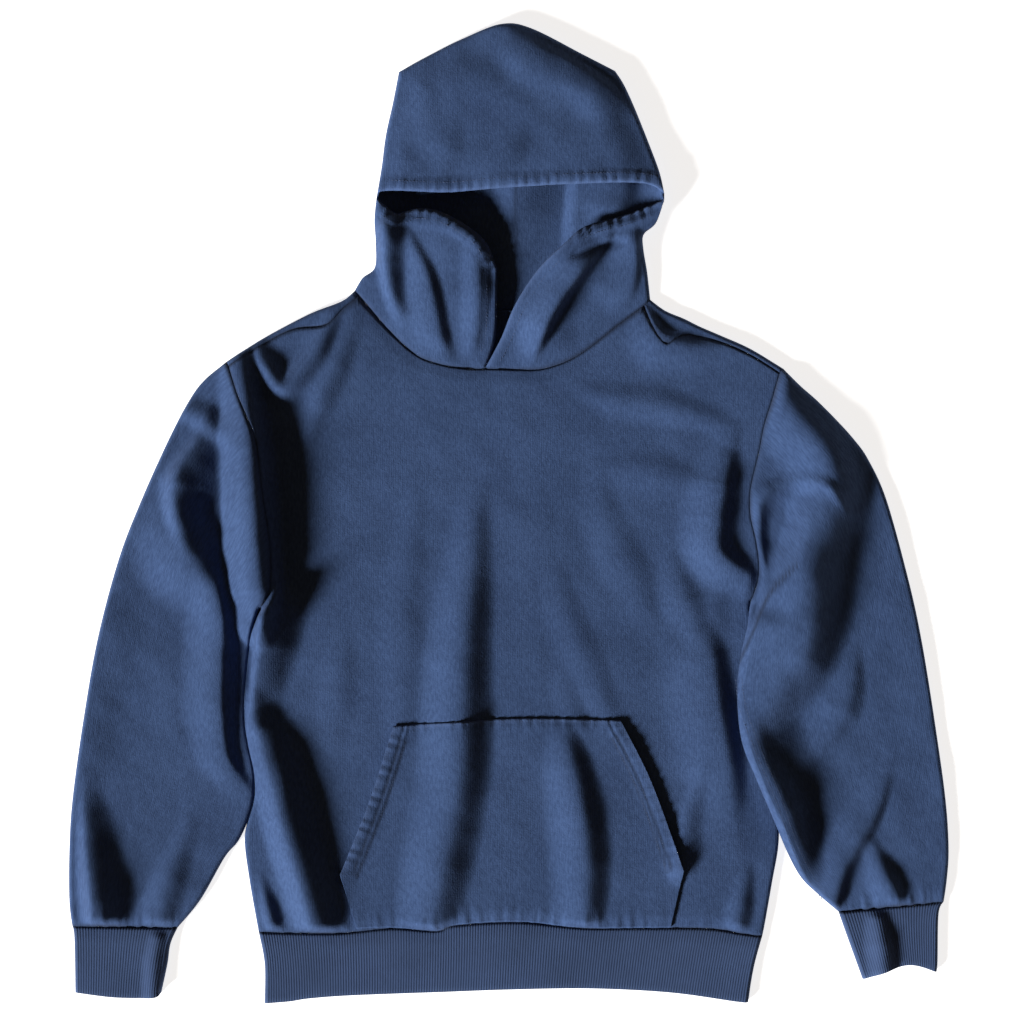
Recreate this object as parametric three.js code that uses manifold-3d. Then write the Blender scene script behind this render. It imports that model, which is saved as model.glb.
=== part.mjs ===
// Pullover hoodie laid flat on its back, front up. Millimetres, +X to the viewer's right,
// +Y towards the hood, +Z up from the table. Origin: table, middle of the outline's box.
import * as THREE from 'three';
import Module from 'manifold-3d';

// Cloth and seams
const FLEECE = 2.4;
const RIB_KNIT = 3.0;
const SEAM_GAP = 0.3;
const SEAM_INSET = 0.2;
const HOOD_INSET = 0.5;
const CORNER_WALL = 0.5;

// Heights over the table
const FOLD_LINE_HEIGHT = 3.7;
const SIDE_HEIGHT = 8.2;
const PANEL_HEIGHT = 9.6;
const RIB_HEIGHT = 9.0;
const SEAM_HEIGHT = 8.2;
const SEAM_DIP_REACH = 14;
const LAP_CLEARANCE = 1.8;

// Roundness of a folded edge, as plan distance from the edge
const TOP_ROUND = 10;
const UNDER_ROUND = 4.6;

// Grid steps of the walls
const PANEL_STEP = 24;
const SLEEVE_STEP = 22;
const HOOD_STEP = 17;
const ARMHOLE_STEP = 32;
const ARMPIT_STEP = 8;
const EDGE_STEPS = [2.5, 9];

// Rib knit: one solid rib stands for two knitted wales
const RIB_PITCH = 5.4;
const RIB_RAISE = 0.8;
const RIB_ROWS = [0, 0.14, 1];
const CUFF_WIDTH = 92;

// Corners, x and y
const LEFT_ARMPIT = [-247, -95];
const RIGHT_ARMPIT = [241, -88];
const LEFT_SHOULDER_FOLD = [-282, 151];
const LEFT_SHOULDER_SEAM = [-279, 146];
const RIGHT_SHOULDER_FOLD = [274, 144];
const RIGHT_SHOULDER_SEAM = [270, 140];
const LEFT_NECK_FOLD = [-154, 222];
const LEFT_NECK_SEAM = [-149, 217];
const RIGHT_NECK_FOLD = [141, 213];
const RIGHT_NECK_SEAM = [135, 207];
const NECK_CROSSING = [-24, 144];
const LEFT_HEM = [-250, -418];
const RIGHT_HEM = [253, -422];
const LEFT_MOUTH_CORNER = [-132, 313];
const RIGHT_MOUTH_CORNER = [152, 309];
const LEFT_CROWN_CORNER = [-110, 440];
const RIGHT_CROWN_CORNER = [106, 441];

// A line through places, walked by its length
class Line {
  constructor(places) {
    this.spline = new THREE.SplineCurve(places.map(([x, y]) => new THREE.Vector2(x, y)));
    this.spline.arcLengthDivisions = 400;
  }

  at(share) {
    return this.spline.getPointAt(THREE.MathUtils.clamp(share, 0, 1));
  }

  length() {
    return this.spline.getLength();
  }

  // The share of the line at which it passes nearest to a place
  shareNear([x, y]) {
    const steps = 2000;
    let best = 0;
    let least = Infinity;
    for (let i = 0; i <= steps; i += 1) {
      const point = this.at(i / steps);
      const off = Math.hypot(point.x - x, point.y - y);
      if (off < least) {
        least = off;
        best = i / steps;
      }
    }
    return best;
  }

  polyline(count = 60) {
    return Array.from({ length: count + 1 }, (_, i) => this.at(i / count));
  }
}

const portion = (line, from, to) => ({ at: (share) => line.at(from + (to - from) * share) });
const turned = (line) => ({ at: (share) => line.at(1 - share) });

// A line made straight between given shares of it, where two pieces with different grids meet
const faceted = (line, stations) => ({
  at(share) {
    let k = 0;
    while (k < stations.length - 2 && share > stations[k + 1]) k += 1;
    const local = (share - stations[k]) / (stations[k + 1] - stations[k]);
    return line.at(stations[k]).clone().lerp(line.at(stations[k + 1]), local);
  },
});

// Several lines end to end, each over its own range of the whole
function joined(lines, breaks) {
  return {
    at(share) {
      let k = 0;
      while (k < lines.length - 1 && share > breaks[k + 1]) k += 1;
      const span = breaks[k + 1] - breaks[k];
      return lines[k].at((share - breaks[k]) / span);
    },
  };
}

// Seam and outline lines, x and y from one corner to the next
const leftSide = new Line([
  LEFT_HEM, [-259, -367], [-266, -327], [-268, -287], [-267, -247], [-266, -207],
  [-264, -167], [-260, -130], [-255, -112], LEFT_ARMPIT,
]);
const rightSide = new Line([
  RIGHT_HEM, [256, -407], [263, -367], [269, -332], [269, -300], [264, -272],
  [254, -240], [245, -205], [241, -165], [241, -130], [242, -108], [240.4, -96], RIGHT_ARMPIT,
]);
const leftArmhole = new Line([
  LEFT_ARMPIT, [-240, -84], [-236, -72], [-236, -41], [-239, -12], [-244, 21], [-247, 49],
  [-251, 77], [-259, 96], [-270, 120], LEFT_SHOULDER_SEAM, LEFT_SHOULDER_FOLD,
]);
const rightArmhole = new Line([
  RIGHT_ARMPIT, [248, -68], [249, -49], [246, -27], [241, -5], [240, 14], [242, 31], [249, 60],
  [254, 86], [262, 112], RIGHT_SHOULDER_SEAM, RIGHT_SHOULDER_FOLD,
]);
const leftShoulderSeam = new Line([
  LEFT_SHOULDER_SEAM, [-246, 168], [-214, 184], [-182, 188], [-164, 205], LEFT_NECK_SEAM,
]);
const leftShoulderFold = new Line([
  LEFT_SHOULDER_FOLD, [-246, 174], [-209, 194], [-192, 202], [-166, 212], LEFT_NECK_FOLD,
]);
const rightShoulderSeam = new Line([
  RIGHT_NECK_SEAM, [142, 188], [156, 169], [175, 178], [208, 172], [241, 158], RIGHT_SHOULDER_SEAM,
]);
const rightShoulderFold = new Line([
  RIGHT_NECK_FOLD, [156, 202], [175, 194], [191, 186], [212, 177], [241, 164], RIGHT_SHOULDER_FOLD,
]);
const leftNeck = new Line([
  LEFT_NECK_FOLD, LEFT_NECK_SEAM, [-138, 204], [-118, 181], [-93, 158], [-67, 148], [-41, 144],
  NECK_CROSSING,
]);
const rightNeck = new Line([
  NECK_CROSSING, [10, 143], [35, 144], [61, 153], [86, 169], [112, 190], RIGHT_NECK_SEAM,
  RIGHT_NECK_FOLD,
]);
const backNeck = new Line([LEFT_NECK_FOLD, [-80, 207], [-5, 203], [70, 205], RIGHT_NECK_FOLD]);
const hemSeam = new Line([
  LEFT_HEM, [-209, -419], [-167, -419], [-116, -414], [-72, -417], [-52, -411], [10, -408],
  [74, -414], [128, -414], [198, -414], [231, -419], RIGHT_HEM,
]);
const hemEdge = new Line([
  [-244, -489], [-219, -487], [-199, -484], [-159, -481], [-79, -478], [1, -475], [81, -474],
  [161, -478], [226, -487], [239, -488],
]);
const leftBandSide = new Line([[-244, -489], [-244, -450], LEFT_HEM]);
const rightBandSide = new Line([[239, -488], [242, -467], [246, -447], RIGHT_HEM]);

// Each sleeve: outer fold from shoulder to cuff, underarm fold from armpit to cuff, cuff seam
const leftSleeveOuter = new Line([
  LEFT_SHOULDER_FOLD, [-304, 133], [-319, 113], [-340, 73], [-367, 13], [-390, -47],
  [-411, -127], [-425, -207], [-436, -287], [-439, -340], [-439, -387], [-436, -412],
]);
const leftSleeveUnder = new Line([
  LEFT_ARMPIT, [-262, -108], [-268, -125], [-270, -165], [-268, -205], [-260, -230],
  [-252, -256], [-252, -276], [-259, -303], [-270, -327], [-284, -344], [-308, -386], [-331, -414],
]);
const leftCuffSeam = new Line([[-436, -412], [-331, -414]]);
const rightSleeveOuter = new Line([
  RIGHT_SHOULDER_FOLD, [291, 127], [307, 113], [327, 93], [345, 73], [359, 53], [377, 13],
  [399, -67], [412, -127], [425, -207], [436, -287], [439, -337], [437, -367], [434, -388],
]);
const rightSleeveUnder = new Line([
  RIGHT_ARMPIT, [241.8, -96], [239, -114], [232, -140], [227, -177], [231, -225], [247, -267],
  [262, -302], [276, -335], [291, -363], [309, -381], [329, -398],
]);
const rightCuffSeam = new Line([[434, -388], [329, -398]]);
const leftCuffOuter = new Line([[-436, -412], [-434, -425], [-433, -478]]);
const leftCuffInner = new Line([[-331, -414], [-338, -430], [-341, -450], [-347, -478]]);
const leftCuffEdge = new Line([[-433, -478], [-393, -483], [-355, -483], [-347, -478]]);
const rightCuffOuter = new Line([[434, -388], [429, -400], [428, -447], [427, -458]]);
const rightCuffInner = new Line([[329, -398], [336, -418], [353, -465]]);
const rightCuffEdge = new Line([[427, -458], [397, -451], [353, -465]]);

// Hood: outline folds, face opening edges
const leftHoodSide = new Line([
  LEFT_NECK_FOLD, [-146, 235], [-134, 245], [-133, 270], [-134, 292], LEFT_MOUTH_CORNER,
]);
const leftCrownSide = new Line([[-131, 319], [-127, 345], [-123, 377], [-116, 409], LEFT_CROWN_CORNER]);
const crownEdge = new Line([
  LEFT_CROWN_CORNER, [-79, 457], [-47, 473], [-8, 488], [22, 484], [75, 457], RIGHT_CROWN_CORNER,
]);
const rightHoodSide = new Line([
  RIGHT_NECK_FOLD, [138, 240], [134, 263], [131, 285], [143, 292], RIGHT_MOUTH_CORNER,
]);
const rightCrownSide = new Line([[154, 317], [148, 345], [130, 393], [116, 425], RIGHT_CROWN_CORNER]);
const leftFlapEdge = new Line([NECK_CROSSING, [-14, 172], [-12, 207], [-12, 243]]);
const leftLip = new Line([
  LEFT_MOUTH_CORNER, [-121, 304], [-110, 297], [-93, 302], [-75, 301], [-57, 294], [-36, 281],
  [-21, 266], [-12, 243],
]);
const rightFlapEdge = new Line([NECK_CROSSING, [-8, 174], [4, 203], [20, 230], [36, 250], [56, 268]]);
const rightLip = new Line([[56, 268], [70, 281], [86, 287], [112, 291], [132, 296], RIGHT_MOUTH_CORNER]);
const foreheadEdge = new Line([
  [-131, 319], [-118, 320], [-93, 319], [-59, 318], [-11, 322], [22, 324], [61, 326], [132, 327],
  [154, 317],
]);

// Pocket outline on the front, from its top left corner round
const POCKET_OUTLINE = [
  [-115, -212], [-35, -206], [29, -204], [111, -206], [142, -268], [174, -356], [161, -413],
  [74, -413], [10, -407], [-52, -410], [-72, -416], [-116, -413], [-152, -414], [-168, -360],
  [-139, -287],
];

// Folds. on: pieces that share the fold; high: crest over the cloth round it; lit, shade: reach to
// the left and to the right of the path; path: crest line, x and y
const FOLDS = [
  { on: ['front'], high: 5, lit: 200, shade: 190, path: [[0, -330], [0, 60]] },
  { on: ['front', 'sleeve_left'], high: 22, lit: 18, shade: 40,
    path: [[-262, -70], [-268, -10], [-276, 50], [-298, 88]] },
  { on: ['front'], high: 13, lit: 10, shade: 26, path: [[-246, -200], [-240, -140], [-224, -70], [-226, 10]] },
  { on: ['front'], high: 15, lit: 22, shade: 22,
    path: [[-184, -414], [-204, -368], [-236, -290], [-243, -226]] },
  { on: ['front'], high: 10, lit: 34, shade: 13,
    path: [[-72, -408], [-54, -322], [-44, -215], [-41, -60], [-42, 36]] },
  { on: ['front'], high: 8, lit: 34, shade: 13, path: [[74, -408], [81, -368], [79, -328], [60, -240]] },
  { on: ['front'], high: 4, lit: 30, shade: 20, path: [[108, -176], [72, -110]] },
  { on: ['front'], high: 4, lit: 30, shade: 20, path: [[206, -116], [182, -66]] },
  { on: ['front'], high: 7, lit: 34, shade: 18, path: [[222, -20], [216, 60], [222, 100]] },
  { on: ['front'], high: 4, lit: 12, shade: 14, path: [[110, 100], [215, 108]] },
  { on: ['front'], high: 4, lit: 22, shade: 16, path: [[-222, 90], [-200, 160]] },
  { on: ['sleeve_left'], high: 15, lit: 32, shade: 16, path: [[-331, -45], [-333, 40], [-322, 90]] },
  { on: ['sleeve_left'], high: 18, lit: 110, shade: 12,
    path: [[-285, -330], [-268, -290], [-266, -258], [-281, -225], [-284, -100]] },
  { on: ['sleeve_left'], high: 12, lit: 22, shade: 16, path: [[-417, -400], [-415, -365], [-410, -300]] },
  { on: ['sleeve_left'], high: 6, lit: 24, shade: 16, path: [[-362, -400], [-330, -312]] },
  { on: ['sleeve_right'], high: 20, lit: 44, shade: 24,
    path: [[246, -205], [266, -165], [298, -87], [322, 15], [327, 40]] },
  { on: ['sleeve_right'], high: 8, lit: 26, shade: 12, path: [[274, -60], [276, 30]] },
  { on: ['sleeve_right'], high: 9, lit: 30, shade: 18, path: [[328, -200], [350, -182]] },
  { on: ['sleeve_right'], high: 10, lit: 26, shade: 20, path: [[300, -350], [274, -290], [262, -250]] },
  { on: ['sleeve_right'], high: 7, lit: 22, shade: 16, path: [[332, -372], [352, -340], [376, -290]] },
  { on: ['sleeve_right'], high: 6, lit: 18, shade: 12, path: [[386, -385], [380, -340]] },
  { on: ['sleeve_right'], high: 7, lit: 18, shade: 14, path: [[330, 50], [290, 100]] },
];

// Hood heights: spots that its outer layer is hung between. x, y, z, and how far each one reaches
const HOOD_SPOTS = [
  { x: -134, y: 260, z: 20, reach: 60 },
  { x: -90, y: 290, z: 34, reach: 60 },
  { x: -20, y: 250, z: 38, reach: 60 },
  { x: -20, y: 180, z: 24, reach: 50 },
  { x: 20, y: 215, z: 34, reach: 60 },
  { x: 60, y: 262, z: 40, reach: 60 },
  { x: 120, y: 280, z: 34, reach: 60 },
  { x: 120, y: 225, z: 22, reach: 60 },
  { x: 0, y: 330, z: 30, reach: 90 },
  { x: 0, y: 400, z: 26, reach: 90 },
  { x: 0, y: 450, z: 18, reach: 70 },
];
const HOOD_FOLDS = [
  { high: -9, lit: 16, shade: 16, path: [[-94, 226], [-82, 268]] },
  { high: -8, lit: 14, shade: 16, path: [[-62, 176], [-66, 232], [-72, 252]] },
  { high: 9, lit: 26, shade: 13, path: [[38, 190], [50, 205], [80, 246], [104, 276]] },
];

const smooth = (share) => THREE.MathUtils.smoothstep(share, 0, 1);
const roundOff = (off, reach) => (off >= reach ? 1 : Math.sqrt(1 - (1 - off / reach) ** 2));

// Nearest place on a run of points: how far off, which side, and how far along
function nearestOn(points, x, y) {
  let best = { off: Infinity, side: 1, along: 0 };
  let walked = 0;
  for (let i = 0; i < points.length - 1; i += 1) {
    const a = points[i];
    const b = points[i + 1];
    const dx = b.x - a.x;
    const dy = b.y - a.y;
    const span = Math.hypot(dx, dy);
    const share = THREE.MathUtils.clamp(((x - a.x) * dx + (y - a.y) * dy) / (span * span), 0, 1);
    const off = Math.hypot(x - a.x - dx * share, y - a.y - dy * share);
    if (off < best.off) {
      const side = dx * (y - a.y) - dy * (x - a.x) >= 0 ? 1 : -1;
      best = { off, side, along: walked + span * share };
    }
    walked += span;
  }
  return { ...best, total: walked };
}

const places = (path) => path.map(([x, y]) => ({ x, y }));

// Height of one fold at a place: a soft bell across it, dying out past the ends of its crest
function foldHeight(fold, x, y) {
  const near = nearestOn(fold.points, x, y);
  const reach = near.side > 0 ? fold.lit : fold.shade;
  if (near.off >= reach) return 0;
  const across = 0.5 + 0.5 * Math.cos((Math.PI * near.off) / reach);
  const end = Math.min(near.along, near.total - near.along);
  return fold.high * across * (0.35 + 0.65 * smooth(end / (0.3 * near.total)));
}

for (const fold of [...FOLDS, ...HOOD_FOLDS]) fold.points = places(fold.path);

// Closed edges and sewn lines of each piece
const PIECES = {
  front: {
    closed: [leftSide, rightSide, leftShoulderFold, rightShoulderFold],
    sewn: [[leftArmhole, 'sleeve_left'], [rightArmhole, 'sleeve_right'], [hemSeam, 'hem_band']],
    dips: [hemSeam, leftNeck, rightNeck],
  },
  sleeve_left: {
    closed: [leftSleeveOuter, leftSleeveUnder],
    sewn: [[leftArmhole, 'front'], [leftCuffSeam, 'cuff_left']],
    dips: [leftCuffSeam],
    laps: { line: leftSide, from: LEFT_ARMPIT, inside: 1 },
  },
  sleeve_right: {
    closed: [rightSleeveOuter, rightSleeveUnder],
    sewn: [[rightArmhole, 'front'], [rightCuffSeam, 'cuff_right']],
    dips: [rightCuffSeam],
    laps: { line: rightSide, from: RIGHT_ARMPIT, inside: -1 },
  },
  hem_band: {
    rib: true, closed: [leftBandSide, rightBandSide], sewn: [[hemSeam, 'front']], dips: [hemSeam],
  },
  cuff_left: {
    rib: true, closed: [leftCuffOuter, leftCuffInner], sewn: [[leftCuffSeam, 'sleeve_left']],
    dips: [leftCuffSeam],
  },
  cuff_right: {
    rib: true, closed: [rightCuffOuter, rightCuffInner], sewn: [[rightCuffSeam, 'sleeve_right']],
    dips: [rightCuffSeam],
  },
  hood: {
    closed: [leftHoodSide, leftCrownSide, crownEdge, rightCrownSide, rightHoodSide],
    sewn: [[leftNeck, 'front'], [rightNeck, 'front']],
    dips: [leftNeck, rightNeck],
  },
};
for (const piece of Object.values(PIECES)) {
  piece.closedRuns = piece.closed.map((line) => line.polyline());
  piece.sewnRuns = piece.sewn.map(([line, other]) => [line.polyline(), other]);
  piece.dipRuns = piece.dips.map((line) => line.polyline());
}
const sideRuns = [leftSide.polyline(), rightSide.polyline()];
const lapRuns = { sleeve_left: sideRuns[0], sleeve_right: sideRuns[1] };

const offFrom = (runs, x, y) => Math.min(...runs.map((run) => nearestOn(run, x, y).off));

// Height of the cloth's upper face before its edges are rounded down
function loft(name, x, y) {
  const piece = PIECES[name];
  let base = piece.rib ? RIB_HEIGHT : PANEL_HEIGHT;
  if (name === 'front') {
    base = SIDE_HEIGHT + (base - SIDE_HEIGHT) * smooth((offFrom(sideRuns, x, y) - 18) / 18);
  }
  const dip = offFrom(piece.dipRuns, x, y);
  let height = SEAM_HEIGHT + (base - SEAM_HEIGHT) * smooth(dip / SEAM_DIP_REACH);
  for (const fold of FOLDS) {
    if (!fold.on.includes(name)) continue;
    let high = foldHeight(fold, x, y);
    if (high === 0) continue;
    for (const [run, other] of piece.sewnRuns) {
      if (!fold.on.includes(other)) high *= smooth(nearestOn(run, x, y).off / 16);
    }
    height += high;
  }
  return height;
}

// The hood's outer layer hangs between a few spots, and meets the neck seam at the panels' height
function hoodLoft(x, y) {
  let sum = 0;
  let weights = 0;
  for (const spot of HOOD_SPOTS) {
    const off = Math.hypot(x - spot.x, y - spot.y) / spot.reach;
    const weight = 1 / (0.04 + off * off) ** 1.5;
    sum += weight * spot.z;
    weights += weight;
  }
  let height = sum / weights;
  for (const fold of HOOD_FOLDS) height += foldHeight(fold, x, y);
  const neck = offFrom(PIECES.hood.dipRuns, x, y);
  return SEAM_HEIGHT + (height - SEAM_HEIGHT) * smooth(neck / 46);
}

// How far a sleeve is lifted where it laps the body's side
function lapLift(name, x, y) {
  const laps = PIECES[name].laps;
  if (!laps) return 0;
  const near = nearestOn(lapRuns[name], x, y);
  const inside = near.side * laps.inside < 0 ? near.off : -near.off;
  if (inside < -16) return 0;
  const body = SIDE_HEIGHT + Math.max(0, loft('front', x, y) - SIDE_HEIGHT) * smooth((inside + 12) / 12);
  return (body + LAP_CLEARANCE) * smooth((inside + 15) / 16) * smooth((laps.from[1] - y) / 26);
}

function topHeight(name, x, y) {
  const off = offFrom(PIECES[name].closedRuns, x, y);
  const hood = name === 'hood';
  const height = hood ? hoodLoft(x, y) : loft(name, x, y);
  const reach = hood ? Math.max(TOP_ROUND, 0.8 * height) : TOP_ROUND;
  return lapLift(name, x, y) + FOLD_LINE_HEIGHT + (height - FOLD_LINE_HEIGHT) * roundOff(off, reach);
}

// Height of a folded edge halfway between its two layers
const rimHeight = () => FOLD_LINE_HEIGHT;

function underHeight(name, x, y) {
  const off = offFrom(PIECES[name].closedRuns, x, y);
  return lapLift(name, x, y) + FOLD_LINE_HEIGHT * (1 - roundOff(off, UNDER_ROUND));
}

// Blend of four border lines into a plan: lower and upper run with u, left and right with v
function coons(lower, upper, left, right) {
  const c00 = lower.at(0);
  const c10 = lower.at(1);
  const c01 = upper.at(0);
  const c11 = upper.at(1);
  return (u, v) => {
    const a = lower.at(u);
    const b = upper.at(u);
    const c = left.at(v);
    const d = right.at(v);
    const part = (k) => (1 - v) * a[k] + v * b[k] + (1 - u) * c[k] + u * d[k]
      - (1 - u) * (1 - v) * c00[k] - u * (1 - v) * c10[k] - (1 - u) * v * c01[k] - u * v * c11[k];
    return { x: part('x'), y: part('y') };
  };
}

// Shares of a length at about one step apart, closer beside an end that is rounded
function shares(length, step, tightStart = false, tightEnd = false) {
  const near = tightStart ? EDGE_STEPS.map((off) => off / length) : [];
  const far = tightEnd ? EDGE_STEPS.map((off) => 1 - off / length).reverse() : [];
  const from = near.length ? near[near.length - 1] : 0;
  const to = far.length ? far[0] : 1;
  const count = Math.max(1, Math.round(((to - from) * length) / step));
  const middle = [];
  for (let i = near.length ? 1 : 1; i < count; i += 1) middle.push(from + ((to - from) * i) / count);
  return [0, ...near, ...middle, ...far, 1];
}

// Shares of several stretches laid end to end over the given breaks
function stretches(list, breaks) {
  const all = [0];
  list.forEach((local, k) => {
    for (const share of local.slice(1)) all.push(breaks[k] + (breaks[k + 1] - breaks[k]) * share);
  });
  return all;
}

// A layer: a grid over a plan, with its height, and what each of its four edges is.
// An edge is 'sewn' (open, kept clear of its neighbour), 'side' (ends halfway up a folded edge,
// against another piece) or 'joined' (runs on into another layer of the same piece). Where a sewn
// edge starts at the end of a joined one, 'before' or 'after' says on which side the joined one lies
function layer({
  plan, us, vs, height, under = false, edges, rim = rimHeight, raise = () => 0, inset = SEAM_INSET,
}) {
  const points = [];
  const sideShift = under ? -SEAM_GAP / 2 : SEAM_GAP / 2;
  const lift = 1e-4;
  us.forEach((u, i) => {
    vs.forEach((v, j) => {
      const kinds = [];
      if (i === 0) kinds.push([edges.start, 1, 0, v]);
      if (i === us.length - 1) kinds.push([edges.end, -1, 0, v]);
      if (j === 0) kinds.push([edges.lower, 0, 1, u]);
      if (j === vs.length - 1) kinds.push([edges.upper, 0, -1, u]);
      const at = plan(u, v);
      const point = { x: at.x, y: at.y, z: 0, across: [], flat: false, folded: false, raise: raise(u, v) };
      let rise = 0;
      for (const [edge, du, dv, along] of kinds) {
        for (const kind of edge(along)) {
          if (kind === 'side') {
            point.flat = true;
            rise = sideShift;
          }
          const turn = { sewn: 0, before: -1, after: 1 }[kind];
          if (turn !== undefined) {
            const on = turn === 0 ? plan(u + du * lift, v + dv * lift) : plan(u + turn * lift, v);
            const inward = new THREE.Vector2(on.x - at.x, on.y - at.y).normalize();
            const a = plan(u - dv * lift, v - du * lift);
            const b = plan(u + dv * lift, v + du * lift);
            const along2 = new THREE.Vector2(b.x - a.x, b.y - a.y).normalize();
            point.x += inward.x * inset;
            point.y += inward.y * inset;
            point.across.push(new THREE.Vector3(-along2.y, along2.x, 0));
          }
        }
      }
      point.folded = kinds.some(([edge, , , along]) => edge(along).includes('joined'));
      point.z = point.flat || point.folded ? rim(at.x, at.y) + rise : height(at.x, at.y);
      points.push(point);
    });
  });
  return { points, rows: vs.length, columns: us.length, under };
}

const always = (...kinds) => () => kinds;
const mirrored = (stations) => stations.map((share) => 1 - share).reverse();

// Which way a grid's faces turn when seen from above
function turnsLeft({ points, rows, columns }) {
  const i = Math.floor(columns / 2) - 1;
  const j = Math.floor(rows / 2) - 1;
  const a = points[Math.max(i, 0) * rows + Math.max(j, 0)];
  const b = points[(Math.max(i, 0) + 1) * rows + Math.max(j, 0)];
  const c = points[Math.max(i, 0) * rows + Math.max(j, 0) + 1];
  return (b.x - a.x) * (c.y - a.y) - (b.y - a.y) * (c.x - a.x) > 0;
}

// Layers of one piece as one skin, its shared border points made one
function skin(layers) {
  const keys = new Map();
  const points = [];
  const faces = [];
  const indexOf = (point) => {
    const key = [point.x, point.y, point.z].map((value) => Math.round(value * 500)).join();
    if (!keys.has(key)) {
      keys.set(key, points.length);
      points.push({ ...point, across: [...point.across] });
    } else {
      points[keys.get(key)].across.push(...point.across);
    }
    return keys.get(key);
  };
  for (const part of layers) {
    const ids = part.points.map(indexOf);
    const faceUp = turnsLeft(part) !== part.under;
    for (let i = 0; i < part.columns - 1; i += 1) {
      for (let j = 0; j < part.rows - 1; j += 1) {
        const [a, b, c, d] = [i * part.rows + j, (i + 1) * part.rows + j,
          (i + 1) * part.rows + j + 1, i * part.rows + j + 1].map((k) => ids[k]);
        for (const face of [[a, b, c], [a, c, d]]) {
          if (new Set(face).size < 3) continue;
          faces.push(faceUp ? face : [face[0], face[2], face[1]]);
        }
      }
    }
  }
  return { points, faces };
}

// A wall of cloth: the skin as its outer face, a second face inside it, and its cut edges.
// At a sewn edge the cut is square to the seam, so that neighbours stay clear of each other
function wall(layers, thickness) {
  const { points, faces } = skin(layers);
  const normals = points.map(() => new THREE.Vector3());
  const [a, b, c] = [new THREE.Vector3(), new THREE.Vector3(), new THREE.Vector3()];
  for (const face of faces) {
    [a, b, c].forEach((corner, k) => corner.copy(points[face[k]]));
    const normal = b.clone().sub(a).cross(c.clone().sub(a)).normalize();
    face.forEach((index, k) => {
      const [p, q, r] = [[a, b, c], [b, c, a], [c, a, b]][k];
      normals[index].addScaledVector(normal, q.clone().sub(p).angleTo(r.clone().sub(p)));
    });
  }
  const up = new THREE.Vector3(0, 0, 1);
  points.forEach((point, index) => {
    const normal = normals[index].normalize();
    const across = new THREE.Vector3();
    for (const way of point.across) across.addScaledVector(way, way.dot(across) < 0 ? -1 : 1);
    if (point.flat || point.folded) {
      if (across.lengthSq() > 0) normal.projectOnPlane(across.normalize());
      normal.projectOnPlane(up);
    } else if (across.lengthSq() > 0) {
      normal.set(0, 0, Math.sign(normal.z));
    }
    normal.normalize();
  });
  const positions = [];
  points.forEach((point, k) => {
    const n = normals[k];
    positions.push(point.x + n.x * point.raise, point.y + n.y * point.raise, point.z + n.z * point.raise);
  });
  points.forEach((point, k) => {
    const n = normals[k];
    const deep = point.folded && point.across.length > 0 ? CORNER_WALL * thickness : thickness;
    positions.push(point.x - n.x * deep, point.y - n.y * deep, point.z - n.z * deep);
  });
  const inner = points.length;
  const index = [];
  const border = new Map();
  for (const [p, q, r] of faces) {
    index.push(p, q, r, inner + p, inner + r, inner + q);
    for (const [s, t] of [[p, q], [q, r], [r, p]]) {
      if (!border.delete(`${t},${s}`)) border.set(`${s},${t}`, [s, t]);
    }
  }
  for (const [s, t] of border.values()) index.push(t, s, inner + s, t, inner + s, inner + t);
  const geometry = new THREE.BufferGeometry();
  geometry.setAttribute('position', new THREE.Float32BufferAttribute(positions, 3));
  geometry.setIndex(index);
  geometry.computeVertexNormals();
  return geometry;
}

// Body panels. The side line and the armhole meet at ARMPIT_SHARE of a panel's height, and the
// back's armhole goes on past WRAP_SHARE, round the shoulder fold
const ARMPIT_SHARE = 0.58;
const WRAP_SHARE = 0.985;
const NECK_SHARES = [0.27, 0.5, 0.73];
const WRAP_ROWS = [0, 0.5, 0.8, 1];
const leftSeamShare = leftArmhole.shareNear(LEFT_SHOULDER_SEAM);
const rightSeamShare = rightArmhole.shareNear(RIGHT_SHOULDER_SEAM);
const leftNeckShare = leftNeck.shareNear(LEFT_NECK_SEAM);
const rightNeckShare = rightNeck.shareNear(RIGHT_NECK_SEAM);
const topBreaks = [0, ...NECK_SHARES, 1];

// Stations shared by the pieces that meet at a seam
const sideStations = [...shares(leftSide.length() - ARMPIT_STEP, PANEL_STEP)
  .map((share) => share * (1 - ARMPIT_STEP / leftSide.length())), 1];
const armholeStations = shares(leftArmhole.length(), ARMHOLE_STEP, true, false);
const shoulderStations = shares(leftShoulderSeam.length(), PANEL_STEP, true, false);
const neckStations = shares(leftNeck.length(), PANEL_STEP);
const backNeckStations = shares(backNeck.length(), 28, true, true);
const underArmhole = armholeStations.filter((share, i) => i < 3 || i === armholeStations.length - 1
  || i % 2 === 0);

const bodyRows = stretches([sideStations, armholeStations], [0, ARMPIT_SHARE, 1]);
const backRows = stretches([sideStations, armholeStations, [0, 1]], [0, ARMPIT_SHARE, WRAP_SHARE, 1]);
const frontColumns = stretches([
  shoulderStations, neckStations, neckStations, mirrored(shoulderStations),
], topBreaks);
const backColumns = stretches([
  shoulderStations, backNeckStations, mirrored(shoulderStations),
], [0, NECK_SHARES[0], NECK_SHARES[2], 1]);
const onBodySide = (...above) => (v) => {
  if (v < ARMPIT_SHARE - 1e-6) return ['side'];
  return v < ARMPIT_SHARE + 1e-6 ? ['side', ...above] : above;
};

// The armhole as the back and a sleeve's under layer meet it, and its last bit round the shoulder
const underSeam = (armhole, seamShare) => joined([
  faceted(portion(armhole, 0, seamShare), underArmhole), portion(armhole, seamShare, 1),
], [0, seamShare, 1]);

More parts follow.
